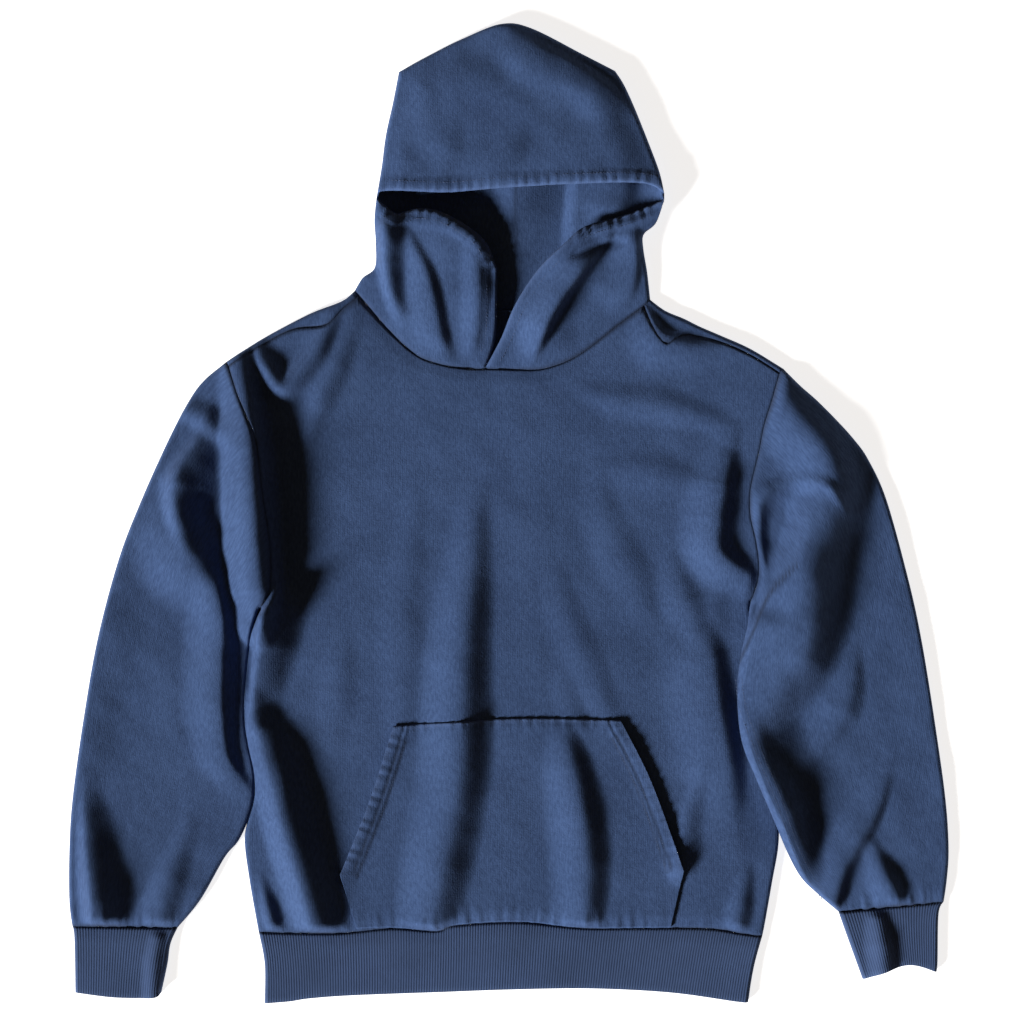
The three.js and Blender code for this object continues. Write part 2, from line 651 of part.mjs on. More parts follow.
function frontPanel() {
  const upper = joined([
    leftShoulderSeam,
    portion(leftNeck, leftNeckShare, 1),
    portion(rightNeck, 0, rightNeckShare),
    rightShoulderSeam,
  ], topBreaks);
  const breaks = [0, ARMPIT_SHARE, 1];
  const left = joined([leftSide, portion(leftArmhole, 0, leftSeamShare)], breaks);
  const right = joined([rightSide, portion(rightArmhole, 0, rightSeamShare)], breaks);
  return layer({
    plan: coons(hemSeam, upper, left, right),
    us: frontColumns,
    vs: bodyRows,
    height: (x, y) => topHeight('front', x, y),
    edges: { start: onBodySide('sewn'), end: onBodySide('sewn'), lower: always('sewn'),
      upper: always('sewn') },
  });
}

// The back lies on the table and wraps over each shoulder to the front's shoulder seam
function backPanel() {
  const [neckStart, , neckEnd] = NECK_SHARES;
  const upper = joined([leftShoulderFold, backNeck, rightShoulderFold], [0, neckStart, neckEnd, 1]);
  const breaks = [0, ARMPIT_SHARE, WRAP_SHARE, 1];
  const border = (side, armhole, seamShare) => joined([
    side, faceted(portion(armhole, 0, seamShare), underArmhole), portion(armhole, seamShare, 1),
  ], breaks);
  const lying = layer({
    plan: coons(hemSeam, upper, border(leftSide, leftArmhole, leftSeamShare),
      border(rightSide, rightArmhole, rightSeamShare)),
    us: backColumns,
    vs: backRows,
    height: (x, y) => underHeight('front', x, y),
    under: true,
    edges: { start: onBodySide('sewn'), end: onBodySide('sewn'), lower: always('sewn'),
      upper: (u) => {
        if (Math.abs(u - neckStart) < 1e-6) return ['joined', 'before'];
        if (Math.abs(u - neckEnd) < 1e-6) return ['joined', 'after'];
        return u > neckStart && u < neckEnd ? ['sewn'] : ['joined'];
      } },
  });
  const wraps = [
    {
      seam: leftShoulderSeam, fold: leftShoulderFold,
      start: portion(leftArmhole, leftSeamShare, 1), end: portion(leftNeck, leftNeckShare, 0),
      us: shoulderStations,
    },
    {
      seam: rightShoulderSeam, fold: rightShoulderFold,
      start: portion(rightNeck, rightNeckShare, 1), end: portion(rightArmhole, rightSeamShare, 1),
      us: mirrored(shoulderStations),
    },
  ].map((wrap) => layer({
    plan: coons(wrap.seam, wrap.fold, wrap.start, wrap.end),
    us: wrap.us,
    vs: WRAP_ROWS,
    height: (x, y) => topHeight('front', x, y),
    edges: { start: always('sewn'), end: always('sewn'), lower: always('sewn'), upper: always('joined') },
  }));
  return [lying, ...wraps];
}

// A flattened tube: an upper and an under layer joined along both folded edges. Each layer has its
// own grid, and its own start and end lines where it meets layers of other pieces
function tube(name, { outer, inner, over, under, along, ribs = 0 }) {
  const edges = { start: always('joined'), end: always('joined'), lower: always('sewn'),
    upper: always('sewn') };
  const rim = (x, y) => lapLift(name, x, y) + FOLD_LINE_HEIGHT;
  return [
    layer({
      rim, edges, plan: coons(over.from, over.to, outer, inner), us: over.columns, vs: along,
      height: (x, y) => topHeight(name, x, y), raise: ribRaise(ribs),
    }),
    layer({
      rim, edges, plan: coons(under.from, under.to, outer, inner), us: under.columns, vs: along,
      height: (x, y) => underHeight(name, x, y), under: true,
    }),
  ];
}

// Two columns a rib, crest and channel by turns, flat beside both folded edges
const ribColumns = (ribs) => Array.from({ length: 2 * ribs + 1 }, (_, i) => i / (2 * ribs));
const ribRaise = (ribs) => (u) => {
  const column = Math.round(u * 2 * ribs);
  return column % 2 === 1 && column > 1 && column < 2 * ribs - 1 ? RIB_RAISE : 0;
};

const sleeveRows = [0, ...shares(leftSleeveUnder.length() - ARMPIT_STEP, SLEEVE_STEP)
  .map((share) => 1 - (1 - share) * (1 - ARMPIT_STEP / leftSleeveUnder.length()))];

// A sleeve's columns run from the shoulder fold to the armpit, at the stations of its armhole
function sleeve(name, armhole, seamShare, cuffSeam, outer, inner) {
  const wrap = WRAP_ROWS.slice(1, -1).map((share) => seamShare + (1 - seamShare) * share);
  const onSeam = (stations) => stations.map((share) => share * seamShare);
  return tube(name, {
    outer,
    inner,
    over: {
      from: turned(armhole), to: cuffSeam,
      columns: mirrored([...onSeam(armholeStations), ...wrap, 1]),
    },
    under: {
      from: turned(underSeam(armhole, seamShare)), to: cuffSeam,
      columns: mirrored([...onSeam(underArmhole), 1]),
    },
    along: sleeveRows,
  });
}

function cuff(name, seam, edge, outer, inner) {
  const ribs = Math.round(CUFF_WIDTH / RIB_PITCH);
  return tube(name, {
    outer,
    inner,
    over: { from: seam, to: edge, columns: ribColumns(ribs) },
    under: { from: seam, to: edge, columns: shares(CUFF_WIDTH, PANEL_STEP, true, true) },
    along: RIB_ROWS,
    ribs,
  });
}

function hemBand() {
  const ribs = Math.round(hemSeam.length() / RIB_PITCH);
  return tube('hem_band', {
    outer: turned(leftBandSide),
    inner: turned(rightBandSide),
    over: { from: faceted(hemSeam, frontColumns), to: hemEdge, columns: ribColumns(ribs) },
    under: { from: faceted(hemSeam, backColumns), to: hemEdge, columns: backColumns },
    along: RIB_ROWS,
    ribs,
  });
}

// Hood: one under layer on the table, and over it two flaps and the crown round the face opening
function hood() {
  const flapRows = shares(leftHoodSide.length(), HOOD_STEP);
  const crownRows = shares(leftCrownSide.length(), HOOD_STEP, false, true);
  const top = (x, y) => topHeight('hood', x, y);
  const neckColumns = (share) => [...WRAP_ROWS.slice(0, -1).map((row) => share * (1 - row)).reverse(),
    ...neckStations.slice(1).map((station) => share + (1 - share) * station)];
  const leftFlap = layer({
    inset: HOOD_INSET,
    plan: coons(leftNeck, leftLip, leftHoodSide, leftFlapEdge),
    us: [0, ...neckColumns(leftNeckShare)],
    vs: flapRows,
    height: top,
    edges: { start: always('joined'), end: always('free'), lower: always('sewn'),
      upper: always('free') },
  });
  const rightFlap = layer({
    inset: HOOD_INSET,
    plan: coons(rightNeck, rightLip, rightFlapEdge, rightHoodSide),
    us: mirrored([0, ...neckColumns(1 - rightNeckShare)]),
    vs: flapRows,
    height: top,
    edges: { start: always('free'), end: always('joined'), lower: always('sewn'),
      upper: always('free') },
  });
  const crown = layer({
    inset: HOOD_INSET,
    plan: coons(foreheadEdge, crownEdge, leftCrownSide, rightCrownSide),
    us: backNeckStations,
    vs: crownRows,
    height: top,
    edges: { start: always('joined'), end: always('joined'), lower: always('free'),
      upper: always('joined') },
  });
  const cornerShare = 0.47;
  const crownShare = 0.5;
  const corner = (a, b) => ({ at: (share) => a.at(1).clone().lerp(b.at(0), share) });
  const breaks = [0, cornerShare, crownShare, 1];
  const under = layer({
    inset: HOOD_INSET,
    plan: coons(
      backNeck, crownEdge,
      joined([leftHoodSide, corner(leftHoodSide, leftCrownSide), leftCrownSide], breaks),
      joined([rightHoodSide, corner(rightHoodSide, rightCrownSide), rightCrownSide], breaks),
    ),
    us: backNeckStations,
    vs: stretches([flapRows, [0, 1], crownRows], breaks),
    height: (x, y) => underHeight('hood', x, y),
    under: true,
    edges: { start: always('joined'), end: always('joined'), lower: always('sewn'),
      upper: always('joined') },
  });
  return [leftFlap, rightFlap, crown, under];
}

// The pocket follows the front point for point: the front's upper face moved out, then cut to shape
const wasm = await Module();
wasm.setup();

function toSolid(geometry) {
  const index = geometry.index.array;
  return new wasm.Manifold(new wasm.Mesh({
    numProp: 3,
    vertProperties: new Float32Array(geometry.attributes.position.array),
    triVerts: new Uint32Array(index),
  }));
}

function fromSolid(solid) {
  const mesh = solid.getMesh();
  const geometry = new THREE.BufferGeometry();
  geometry.setAttribute('position', new THREE.BufferAttribute(mesh.vertProperties.slice(), 3));
  geometry.setIndex(new THREE.BufferAttribute(mesh.triVerts.slice(), 1));
  return geometry;
}

function weldedPrism(outline, low, high) {
  const positions = [];
  const index = [];
  const count = outline.length;
  for (const z of [low, high]) for (const [x, y] of outline) positions.push(x, y, z);
  const flat = THREE.ShapeUtils.triangulateShape(outline.map(([x, y]) => new THREE.Vector2(x, y)), []);
  for (const [a, b, c] of flat) {
    index.push(a + count, b + count, c + count, a, c, b);
  }
  for (let i = 0; i < count; i += 1) {
    const j = (i + 1) % count;
    index.push(i, j, j + count, i, j + count, i + count);
  }
  const geometry = new THREE.BufferGeometry();
  geometry.setAttribute('position', new THREE.Float32BufferAttribute(positions, 3));
  geometry.setIndex(index);
  return geometry;
}

function pocket(front) {
  const { points, faces } = skin([front]);
  const count = points.length;
  const positions = [];
  const over = [SEAM_GAP + 0.1 + FLEECE, SEAM_GAP + 0.1];
  for (const rise of over) for (const point of points) positions.push(point.x, point.y, point.z + rise);
  const index = [];
  const border = new Map();
  for (const [p, q, r] of faces) {
    index.push(p, q, r, count + p, count + r, count + q);
    for (const [s, t] of [[p, q], [q, r], [r, p]]) {
      if (!border.delete(`${t},${s}`)) border.set(`${s},${t}`, [s, t]);
    }
  }
  for (const [s, t] of border.values()) index.push(t, s, count + s, t, count + s, count + t);
  const sheet = new THREE.BufferGeometry();
  sheet.setAttribute('position', new THREE.Float32BufferAttribute(positions, 3));
  sheet.setIndex(index);
  const outline = [...POCKET_OUTLINE].reverse();
  return fromSolid(toSolid(sheet).intersect(toSolid(weldedPrism(outline, -20, 120))));
}

// Washed indigo fleece and rib, a little lighter on the rib
const fleece = new THREE.MeshStandardMaterial({ color: 0x34466c, roughness: 0.95, metalness: 0 });
const rib = new THREE.MeshStandardMaterial({ color: 0x2f4366, roughness: 0.92, metalness: 0 });

const front = frontPanel();
const pieces = [
  ['front', wall([front], FLEECE), fleece],
  ['back', wall(backPanel(), FLEECE), fleece],
  ['pocket', pocket(front), fleece],
  ['sleeve_left', wall(sleeve('sleeve_left', leftArmhole, leftSeamShare, leftCuffSeam,
    leftSleeveOuter, leftSleeveUnder), FLEECE), fleece],
  ['sleeve_right', wall(sleeve('sleeve_right', rightArmhole, rightSeamShare, rightCuffSeam,
    rightSleeveOuter, rightSleeveUnder), FLEECE), fleece],
  ['cuff_left', wall(cuff('cuff_left', leftCuffSeam, leftCuffEdge, leftCuffOuter, leftCuffInner),
    RIB_KNIT), rib],
  ['cuff_right', wall(cuff('cuff_right', rightCuffSeam, rightCuffEdge, rightCuffOuter,
    rightCuffInner), RIB_KNIT), rib],
  ['hem_band', wall(hemBand(), RIB_KNIT), rib],
  ['hood', wall(hood(), FLEECE), fleece],
];

const hoodie = new THREE.Group();
for (const [name, geometry, material] of pieces) {
  const mesh = new THREE.Mesh(geometry, material);
  mesh.name = name;
  hoodie.add(mesh);
}

export default hoodie;
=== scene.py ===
"""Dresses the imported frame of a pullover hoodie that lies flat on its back, front up.

Sizes in the tables are millimetres: +X to the viewer's right, +Y towards the hood, +Z up from the table.
Every mesh is written in metres, in the frame's own axes.
"""

import logging
import math
from dataclasses import dataclass
from enum import Enum
from functools import partial
from typing import Callable, ClassVar, Iterable, Sequence

import bmesh
import bpy
import numpy as np
from mathutils import Matrix, Vector


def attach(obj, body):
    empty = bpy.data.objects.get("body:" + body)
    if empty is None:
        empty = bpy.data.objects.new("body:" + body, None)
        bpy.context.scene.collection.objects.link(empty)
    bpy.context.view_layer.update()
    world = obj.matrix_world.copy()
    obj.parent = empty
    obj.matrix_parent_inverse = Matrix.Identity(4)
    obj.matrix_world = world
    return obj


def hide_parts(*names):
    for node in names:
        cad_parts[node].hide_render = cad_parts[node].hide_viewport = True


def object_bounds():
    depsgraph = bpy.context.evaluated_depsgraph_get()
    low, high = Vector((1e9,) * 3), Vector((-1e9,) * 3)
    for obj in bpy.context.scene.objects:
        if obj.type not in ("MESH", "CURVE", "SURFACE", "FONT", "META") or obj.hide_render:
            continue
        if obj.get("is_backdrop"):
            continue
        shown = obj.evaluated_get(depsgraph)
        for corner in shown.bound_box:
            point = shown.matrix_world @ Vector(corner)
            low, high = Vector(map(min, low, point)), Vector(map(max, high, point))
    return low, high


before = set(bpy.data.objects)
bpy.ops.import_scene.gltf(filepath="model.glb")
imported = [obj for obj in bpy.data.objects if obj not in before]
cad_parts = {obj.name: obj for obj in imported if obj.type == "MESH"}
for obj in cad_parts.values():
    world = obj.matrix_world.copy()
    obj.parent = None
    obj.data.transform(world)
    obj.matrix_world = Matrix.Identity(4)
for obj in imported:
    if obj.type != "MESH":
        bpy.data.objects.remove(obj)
CAD_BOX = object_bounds()

log = logging.getLogger("hoodie")

Place = tuple[float, float]
Border = Callable[[np.ndarray], np.ndarray]

MM = 0.001
BODY = "root"

# Cloth and seams
FLEECE = 2.2
RIB_KNIT = 2.6
SEAM_GAP = 0.3
SIDE_WALL_SHARE = 0.12
MERGE_REACH = 0.02

# Heights over the table
FOLD_LINE_HEIGHT = 3.7
SIDE_HEIGHT = 8.2
PANEL_HEIGHT = 9.6
RIB_HEIGHT = 9.0
SEAM_HEIGHT = 8.2
SEAM_DIP_REACH = 14.0
SEAM_SINK = 0.6
SEAM_ROLL = 3.0
LAP_CLEARANCE = 1.8
LEAST_HEIGHT = 6.2
FOLD_FADE = 9.0
LOW_WIDTH = 0.45
TOP_LAP_REACH = 50.0
LAP_REACH = 15.0
LAP_BLEND = 12.0
LAP_START = 26.0
SIDE_SLOPE = 18.0
NECK_RISE = 26.0
INSIDE_FADE = 16.0
HOOD_UNDER_SLOPE = 4.0
HANG_SOFTNESS = 0.04
HANG_POWER = -1.5

# Roundness of a folded edge, as plan distance from the edge
TOP_ROUND = 4.0
UNDER_ROUND = 4.6
CROWN_REACH = 44.0
CROWN_LOW = 0.62

# Grid steps
CLOTH_STEP = 3.0
HIDDEN_STEP = 6.0
POCKET_STEP = 1.8
TIGHT_STEPS = (0.35, 1.2, 2.6, 4.6, 7.0)

# Rib knit
RIB_PITCH = 2.7
RIB_RAISE = 0.32
RIB_COLUMNS = 6
CUFF_WIDTH = 98.0

# Corners
LEFT_ARMPIT = (-247, -95)
RIGHT_ARMPIT = (241, -88)
LEFT_SHOULDER_FOLD = (-282, 151)
LEFT_SHOULDER_SEAM = (-279, 146)
RIGHT_SHOULDER_FOLD = (274, 144)
RIGHT_SHOULDER_SEAM = (270, 140)
LEFT_NECK_FOLD = (-154, 222)
LEFT_NECK_SEAM = (-149, 217)
RIGHT_NECK_FOLD = (141, 213)
RIGHT_NECK_SEAM = (135, 207)
NECK_CROSSING = (-24, 144)
LEFT_HEM = (-250, -418)
RIGHT_HEM = (253, -422)
LEFT_MOUTH_CORNER = (-132, 313)
RIGHT_MOUTH_CORNER = (154, 311)
LEFT_CROWN_CORNER = (-110, 440)
RIGHT_CROWN_CORNER = (106, 441)


class Line:
    """A smooth line through places, walked by its length."""

    SAMPLES = 24

    def __init__(self, *places: Place) -> None:
        """Samples the line once.

        Args:
            places: x and y from one end to the other.
        """
        spots = np.array(places, float)
        count = len(spots)
        along = np.linspace(0, count - 1, (count - 1) * self.SAMPLES + 1)
        at = np.minimum(along.astype(int), count - 2)
        local = (along - at)[:, None]
        before, here = spots[np.maximum(at - 1, 0)], spots[at]
        there, after = spots[at + 1], spots[np.minimum(at + 2, count - 1)]
        leave, arrive = (there - before) / 2, (after - here) / 2
        self.points = (
            (2 * here - 2 * there + leave + arrive) * local**3
            + (3 * there - 3 * here - 2 * leave - arrive) * local**2
            + leave * local
            + here
        )
        self.walked = np.concatenate([[0], np.cumsum(np.hypot(*np.diff(self.points, axis=0).T))])

    @property
    def length(self) -> float:
        """The line's length in mm."""
        return float(self.walked[-1])

    def __call__(self, share: np.ndarray) -> np.ndarray:
        """Places at shares of the length.

        Args:
            share: Any array of shares, 0 to 1.

        Returns:
            The same shape with x and y as a last axis.
        """
        at = np.clip(share, 0, 1) * self.length
        return np.stack([np.interp(at, self.walked, self.points[:, k]) for k in (0, 1)], axis=-1)

    def run(self, count: int = 60) -> np.ndarray:
        """Evenly walked points of the line.

        Args:
            count: How many stretches.

        Returns:
            count + 1 places.
        """
        return self(np.linspace(0, 1, count + 1))

    def share_near(self, place: Place) -> float:
        """The share at which the line passes nearest to a place.

        Args:
            place: x and y.

        Returns:
            The share, 0 to 1.
        """
        shares = np.linspace(0, 1, 2001)
        return float(shares[np.argmin(np.hypot(*(self(shares) - np.array(place)).T))])


def beside(line: Line, off: float) -> Line:
    """A line that runs beside another.

    Args:
        line: The other line.
        off: Distance from it, mm; above zero is to its left.

    Returns:
        The line, a little shorter at both ends.
    """
    places = line.run(40)[1:-1]
    way = np.gradient(places, axis=0)
    way = way / np.hypot(*way.T)[:, None]
    return Line(*(places + off * np.stack([-way[:, 1], way[:, 0]], axis=-1))[::3])


def portion(line: Border, start: float, end: float) -> Border:
    """Part of a line as a line of its own.

    Args:
        line: The whole line.
        start: The share it starts at.
        end: The share it ends at, which may come first.

    Returns:
        The part.
    """
    return lambda share: line(start + (end - start) * np.asarray(share, float))


def turned(line: Border) -> Border:
    """The line walked the other way."""
    return portion(line, 1.0, 0.0)


def joined(lines: Sequence[Border], breaks: Sequence[float]) -> Border:
    """Several lines end to end.

    Args:
        lines: The lines in order.
        breaks: The shares of the whole at which each one starts, and 1.

    Returns:
        The whole.
    """

    def at(share: np.ndarray) -> np.ndarray:
        """Places at shares of the whole."""
        share = np.asarray(share, float)
        places = np.zeros(share.shape + (2,))
        for k, line in enumerate(lines):
            last = k == len(lines) - 1
            inside = (share >= breaks[k]) & ((share < breaks[k + 1]) | last)
            places[inside] = line((share[inside] - breaks[k]) / (breaks[k + 1] - breaks[k]))
        return places

    return at


# Seam and outline lines, from one corner to the next
LEFT_SIDE = Line(
    LEFT_HEM, (-259, -367), (-264, -327), (-260, -303), (-255, -280), (-255, -258), (-261, -232),
    (-265, -205), (-264, -167), (-260, -130), (-255, -112), LEFT_ARMPIT,
)
RIGHT_SIDE = Line(
    RIGHT_HEM, (256, -407), (263, -367), (269, -332), (269, -300), (264, -272),
    (254, -240), (245, -205), (241, -165), (241, -130), (242, -108), (240.4, -96), RIGHT_ARMPIT,
)
LEFT_ARMHOLE = Line(
    LEFT_ARMPIT, (-240, -84), (-236, -72), (-236, -41), (-239, -12), (-244, 21), (-247, 49),
    (-251, 77), (-259, 96), (-270, 120), LEFT_SHOULDER_SEAM, LEFT_SHOULDER_FOLD,
)
RIGHT_ARMHOLE = Line(
    RIGHT_ARMPIT, (248, -68), (249, -49), (246, -27), (241, -5), (240, 14), (242, 31), (249, 60),
    (254, 86), (262, 112), RIGHT_SHOULDER_SEAM, RIGHT_SHOULDER_FOLD,
)
LEFT_SHOULDER = Line(
    LEFT_SHOULDER_SEAM, (-246, 168), (-214, 184), (-182, 188), (-164, 205), LEFT_NECK_SEAM,
)
LEFT_SHOULDER_TOP = Line(
    LEFT_SHOULDER_FOLD, (-246, 174), (-209, 194), (-192, 202), (-166, 212), LEFT_NECK_FOLD,
)
RIGHT_SHOULDER = Line(
    RIGHT_NECK_SEAM, (142, 188), (156, 169), (175, 178), (208, 172), (241, 158), RIGHT_SHOULDER_SEAM,
)
RIGHT_SHOULDER_TOP = Line(
    RIGHT_NECK_FOLD, (156, 202), (175, 194), (191, 186), (212, 177), (241, 164), RIGHT_SHOULDER_FOLD,
)
LEFT_NECK = Line(
    LEFT_NECK_FOLD, LEFT_NECK_SEAM, (-138, 204), (-118, 181), (-93, 158), (-67, 148), (-41, 144),
    NECK_CROSSING,
)
RIGHT_NECK = Line(
    NECK_CROSSING, (10, 143), (35, 144), (61, 153), (86, 169), (112, 190), RIGHT_NECK_SEAM,
    RIGHT_NECK_FOLD,
)
BACK_NECK = Line(LEFT_NECK_FOLD, (-80, 207), (-5, 203), (70, 205), RIGHT_NECK_FOLD)
HEM_SEAM = Line(
    LEFT_HEM, (-209, -419), (-167, -419), (-116, -414), (-72, -417), (-52, -411), (10, -408),
    (74, -414), (128, -414), (198, -414), (231, -419), RIGHT_HEM,
)
HEM_EDGE = Line(
    (-244, -489), (-219, -487), (-199, -484), (-159, -481), (-79, -478), (1, -475), (81, -474),
    (161, -478), (226, -487), (239, -488),
)
LEFT_BAND_SIDE = Line((-244, -489), (-244, -450), LEFT_HEM)
RIGHT_BAND_SIDE = Line((239, -488), (242, -467), (246, -447), RIGHT_HEM)
LEFT_SLEEVE_OUTER = Line(
    LEFT_SHOULDER_FOLD, (-304, 133), (-319, 113), (-340, 73), (-367, 13), (-390, -47),
    (-411, -127), (-425, -207), (-436, -287), (-439, -340), (-439, -387), (-436, -412),
)
LEFT_SLEEVE_UNDER = Line(
    LEFT_ARMPIT, (-253, -112), (-258, -130), (-262, -167), (-263, -205), (-259, -232),
    (-253, -258), (-253, -280), (-259, -303), (-270, -327), (-284, -344), (-308, -386), (-331, -414),
)
LEFT_CUFF_SEAM = Line((-436, -412), (-331, -414))
RIGHT_SLEEVE_OUTER = Line(
    RIGHT_SHOULDER_FOLD, (291, 127), (307, 113), (327, 93), (345, 73), (359, 53), (377, 13),
    (399, -67), (412, -127), (425, -207), (436, -287), (439, -337), (437, -367), (434, -388),
)
RIGHT_SLEEVE_UNDER = Line(
    RIGHT_ARMPIT, (239.6, -96), (237, -114), (231, -140), (227, -177), (231, -225), (247, -267),
    (262, -302), (276, -335), (291, -363), (309, -381), (329, -398),
)
RIGHT_CUFF_SEAM = Line((434, -388), (329, -398))
LEFT_CUFF_OUTER = Line((-436, -412), (-434, -425), (-433, -478))
LEFT_CUFF_INNER = Line((-331, -414), (-338, -430), (-341, -450), (-347, -478))
LEFT_CUFF_EDGE = Line((-433, -478), (-393, -483), (-355, -483), (-347, -478))
RIGHT_CUFF_OUTER = Line((434, -388), (429, -400), (428, -447), (427, -458))
RIGHT_CUFF_INNER = Line((329, -398), (336, -418), (353, -465))
RIGHT_CUFF_EDGE = Line((427, -458), (397, -451), (353, -465))
LEFT_HOOD_SIDE = Line(
    LEFT_NECK_FOLD, (-146, 235), (-134, 245), (-133, 270), (-134, 292), LEFT_MOUTH_CORNER,
)
LEFT_CROWN_SIDE = Line((-131, 319), (-127, 345), (-123, 377), (-116, 409), LEFT_CROWN_CORNER)
CROWN_EDGE = Line(
    LEFT_CROWN_CORNER, (-79, 457), (-47, 473), (-8, 488), (22, 484), (75, 457), RIGHT_CROWN_CORNER,
)
RIGHT_HOOD_SIDE = Line(
    RIGHT_NECK_FOLD, (138, 240), (134, 263), (134, 277), (146, 288), RIGHT_MOUTH_CORNER,
)
RIGHT_CROWN_SIDE = Line((154, 317), (148, 345), (130, 393), (116, 425), RIGHT_CROWN_CORNER)
LEFT_FLAP_EDGE = Line(NECK_CROSSING, (-14, 172), (-12, 207), (-12, 243))
LEFT_LIP = Line(
    LEFT_MOUTH_CORNER, (-121, 304), (-110, 297), (-93, 302), (-75, 301), (-57, 294), (-36, 281),
    (-21, 266), (-12, 243),
)
RIGHT_FLAP_EDGE = Line(NECK_CROSSING, (-8, 174), (4, 203), (20, 230), (36, 250), (56, 268))
RIGHT_LIP = Line((56, 268), (70, 281), (86, 288), (110, 294), (132, 302), RIGHT_MOUTH_CORNER)
FOREHEAD_EDGE = Line(
    (-131, 319), (-118, 320), (-93, 319), (-59, 318), (-11, 322), (22, 324), (61, 326), (132, 327),
    (154, 317),
)
POCKET_TOP = Line((-115, -212), (-35, -206), (29, -204), (111, -206))
POCKET_LEFT_FOOT, POCKET_RIGHT_FOOT = (-152, -414), (161, -413)
POCKET_LEFT_TURN, POCKET_RIGHT_TURN = (-168, -360), (174, -356)
POCKET_FOOT = Line(
    POCKET_LEFT_FOOT, (-116, -413), (-72, -416), (-52, -410), (10, -407), (74, -413), POCKET_RIGHT_FOOT,
)
POCKET_LEFT = Line(POCKET_LEFT_TURN, (-139, -287), (-115, -212))
POCKET_RIGHT = Line(POCKET_RIGHT_TURN, (142, -268), (111, -206))
POCKET_TURN_SHARE = 0.27
POCKET_ROWS = (11.0, 16.0)
POCKET_HEM_ROWS = tuple(
    (line, off * side) for line, side in ((POCKET_LEFT, -1), (POCKET_RIGHT, 1)) for off in POCKET_ROWS
)
# Rows beside the pocket's hems, in the stitch grooves, darkened in the colour as painted shade
POCKET_HEM_SEAMS = tuple(beside(line, off) for line, off in POCKET_HEM_ROWS)
# Where the lower right sleeve laps over: darkened in the colour as a painted shadow line
RIGHT_LAP = Line((284, -52), (262, -75), (250, -98), (238, -127), (228, -150))
UNDERARM_ROWS = (3.0, -3.0)
UNDERARM_SEAM = Line(
    (228, -160), (230, -182), (236, -207), (251, -245), (267, -284), (283, -330), (300, -362), (318, -388),
)


@dataclass(frozen=True)
class Near:
    """Where places lie beside a run of points: off, side (1 is left), along it and past its ends."""

    off: np.ndarray
    side: np.ndarray
    along: np.ndarray
    past: np.ndarray


def nearest_on(run: np.ndarray, spots: np.ndarray) -> Near:
    """Measures places against a run of points.

    Args:
        run: The run's points.
        spots: The places, one a row.

    Returns:
        What was measured.
    """
    off = np.full(len(spots), np.inf)
    side, along, past = np.ones(len(spots)), np.zeros(len(spots)), np.zeros(len(spots))
    walked = 0.0
    for k, (start, end) in enumerate(zip(run[:-1], run[1:])):
        way = end - start
        span = math.hypot(*way)
        gap = spots - start
        raw = gap @ way / span**2
        share = np.clip(raw, 0, 1)
        here = np.hypot(*(gap - share[:, None] * way).T)
        better = here < off
        beyond = np.zeros(len(spots))
        if k == 0:
            beyond = np.maximum(beyond, -raw * span)
        if k == len(run) - 2:
            beyond = np.maximum(beyond, (raw - 1) * span)
        off = np.where(better, here, off)
        side = np.where(better, np.where(way[0] * gap[:, 1] - way[1] * gap[:, 0] >= 0, 1, -1), side)
        along = np.where(better, walked + span * share, along)
        past = np.where(better, beyond, past)
        walked += span
    return Near(off, side, along, past)


def smooth(share: np.ndarray) -> np.ndarray:
    """Eases a share from 0 to 1."""
    eased = np.clip(share, 0, 1)
    return eased * eased * (3 - 2 * eased)


def round_off(off: np.ndarray, reach: np.ndarray | float) -> np.ndarray:
    """A quarter round: 0 at the edge, 1 from reach on."""
    return np.sqrt(1 - (1 - np.clip(off / reach, 0, 1)) ** 2)


def off_from(runs: Iterable[np.ndarray], spots: np.ndarray) -> np.ndarray:
    """Distance of each place from the nearest of several runs."""
    return np.min([nearest_on(run, spots).off for run in runs], axis=0)


@dataclass(frozen=True)
class Fold:
    """A soft ridge of cloth, or a trough where its heights are below zero.

    path holds x, y and the crest's height. It runs upwards or to the left, so that lit is the reach
    on its left, where the light comes from, and shade the reach on its right, both where it is
    highest. It narrows to LOW_WIDTH of that as it sinks. crown is half the width of a flat crest, and
    power rounds the profile: 2 for a soft foot, 1 for a dome.
    """

    on: tuple[str, ...]
    lit: float
    shade: float
    path: tuple[tuple[float, float, float], ...]
    crown: float = 0.0
    power: float = 2.0

    def height(self, spots: np.ndarray) -> np.ndarray:
        """Height that the fold adds.

        Args:
            spots: Places, one a row.

        Returns:
            Millimetres, one each.
        """
        line = Line(*(place[:2] for place in self.path))
        run = line.run(8 * (len(self.path) - 1))
        reach = max(self.lit, self.shade) + self.crown
        close = np.all((spots > run.min(0) - reach) & (spots < run.max(0) + reach), axis=1)
        added = np.zeros(len(spots))
        if not close.any():
            return added
        near = nearest_on(run, spots[close])
        heights = np.array([place[2] for place in self.path])
        here = np.interp(near.along, line.walked[:: Line.SAMPLES], heights)
        width = LOW_WIDTH + (1 - LOW_WIDTH) * np.abs(here) / np.abs(heights).max()
        lateral = np.sqrt(np.maximum(near.off**2 - near.past**2, 0))
        across = np.maximum(lateral / width - self.crown, 0) / np.where(near.side > 0, self.lit, self.shade)
        out = np.hypot(across, 2 * near.past / (self.lit + self.shade))
        added[close] = here * np.maximum(np.cos(np.pi / 2 * np.minimum(out, 1)), 0) ** self.power
        return added


FRONT, BACK, HOOD, BAND = "front", "back", "hood", "hem_band"
SLEEVE_L, SLEEVE_R, CUFF_L, CUFF_R = "sleeve_left", "sleeve_right", "cuff_left", "cuff_right"

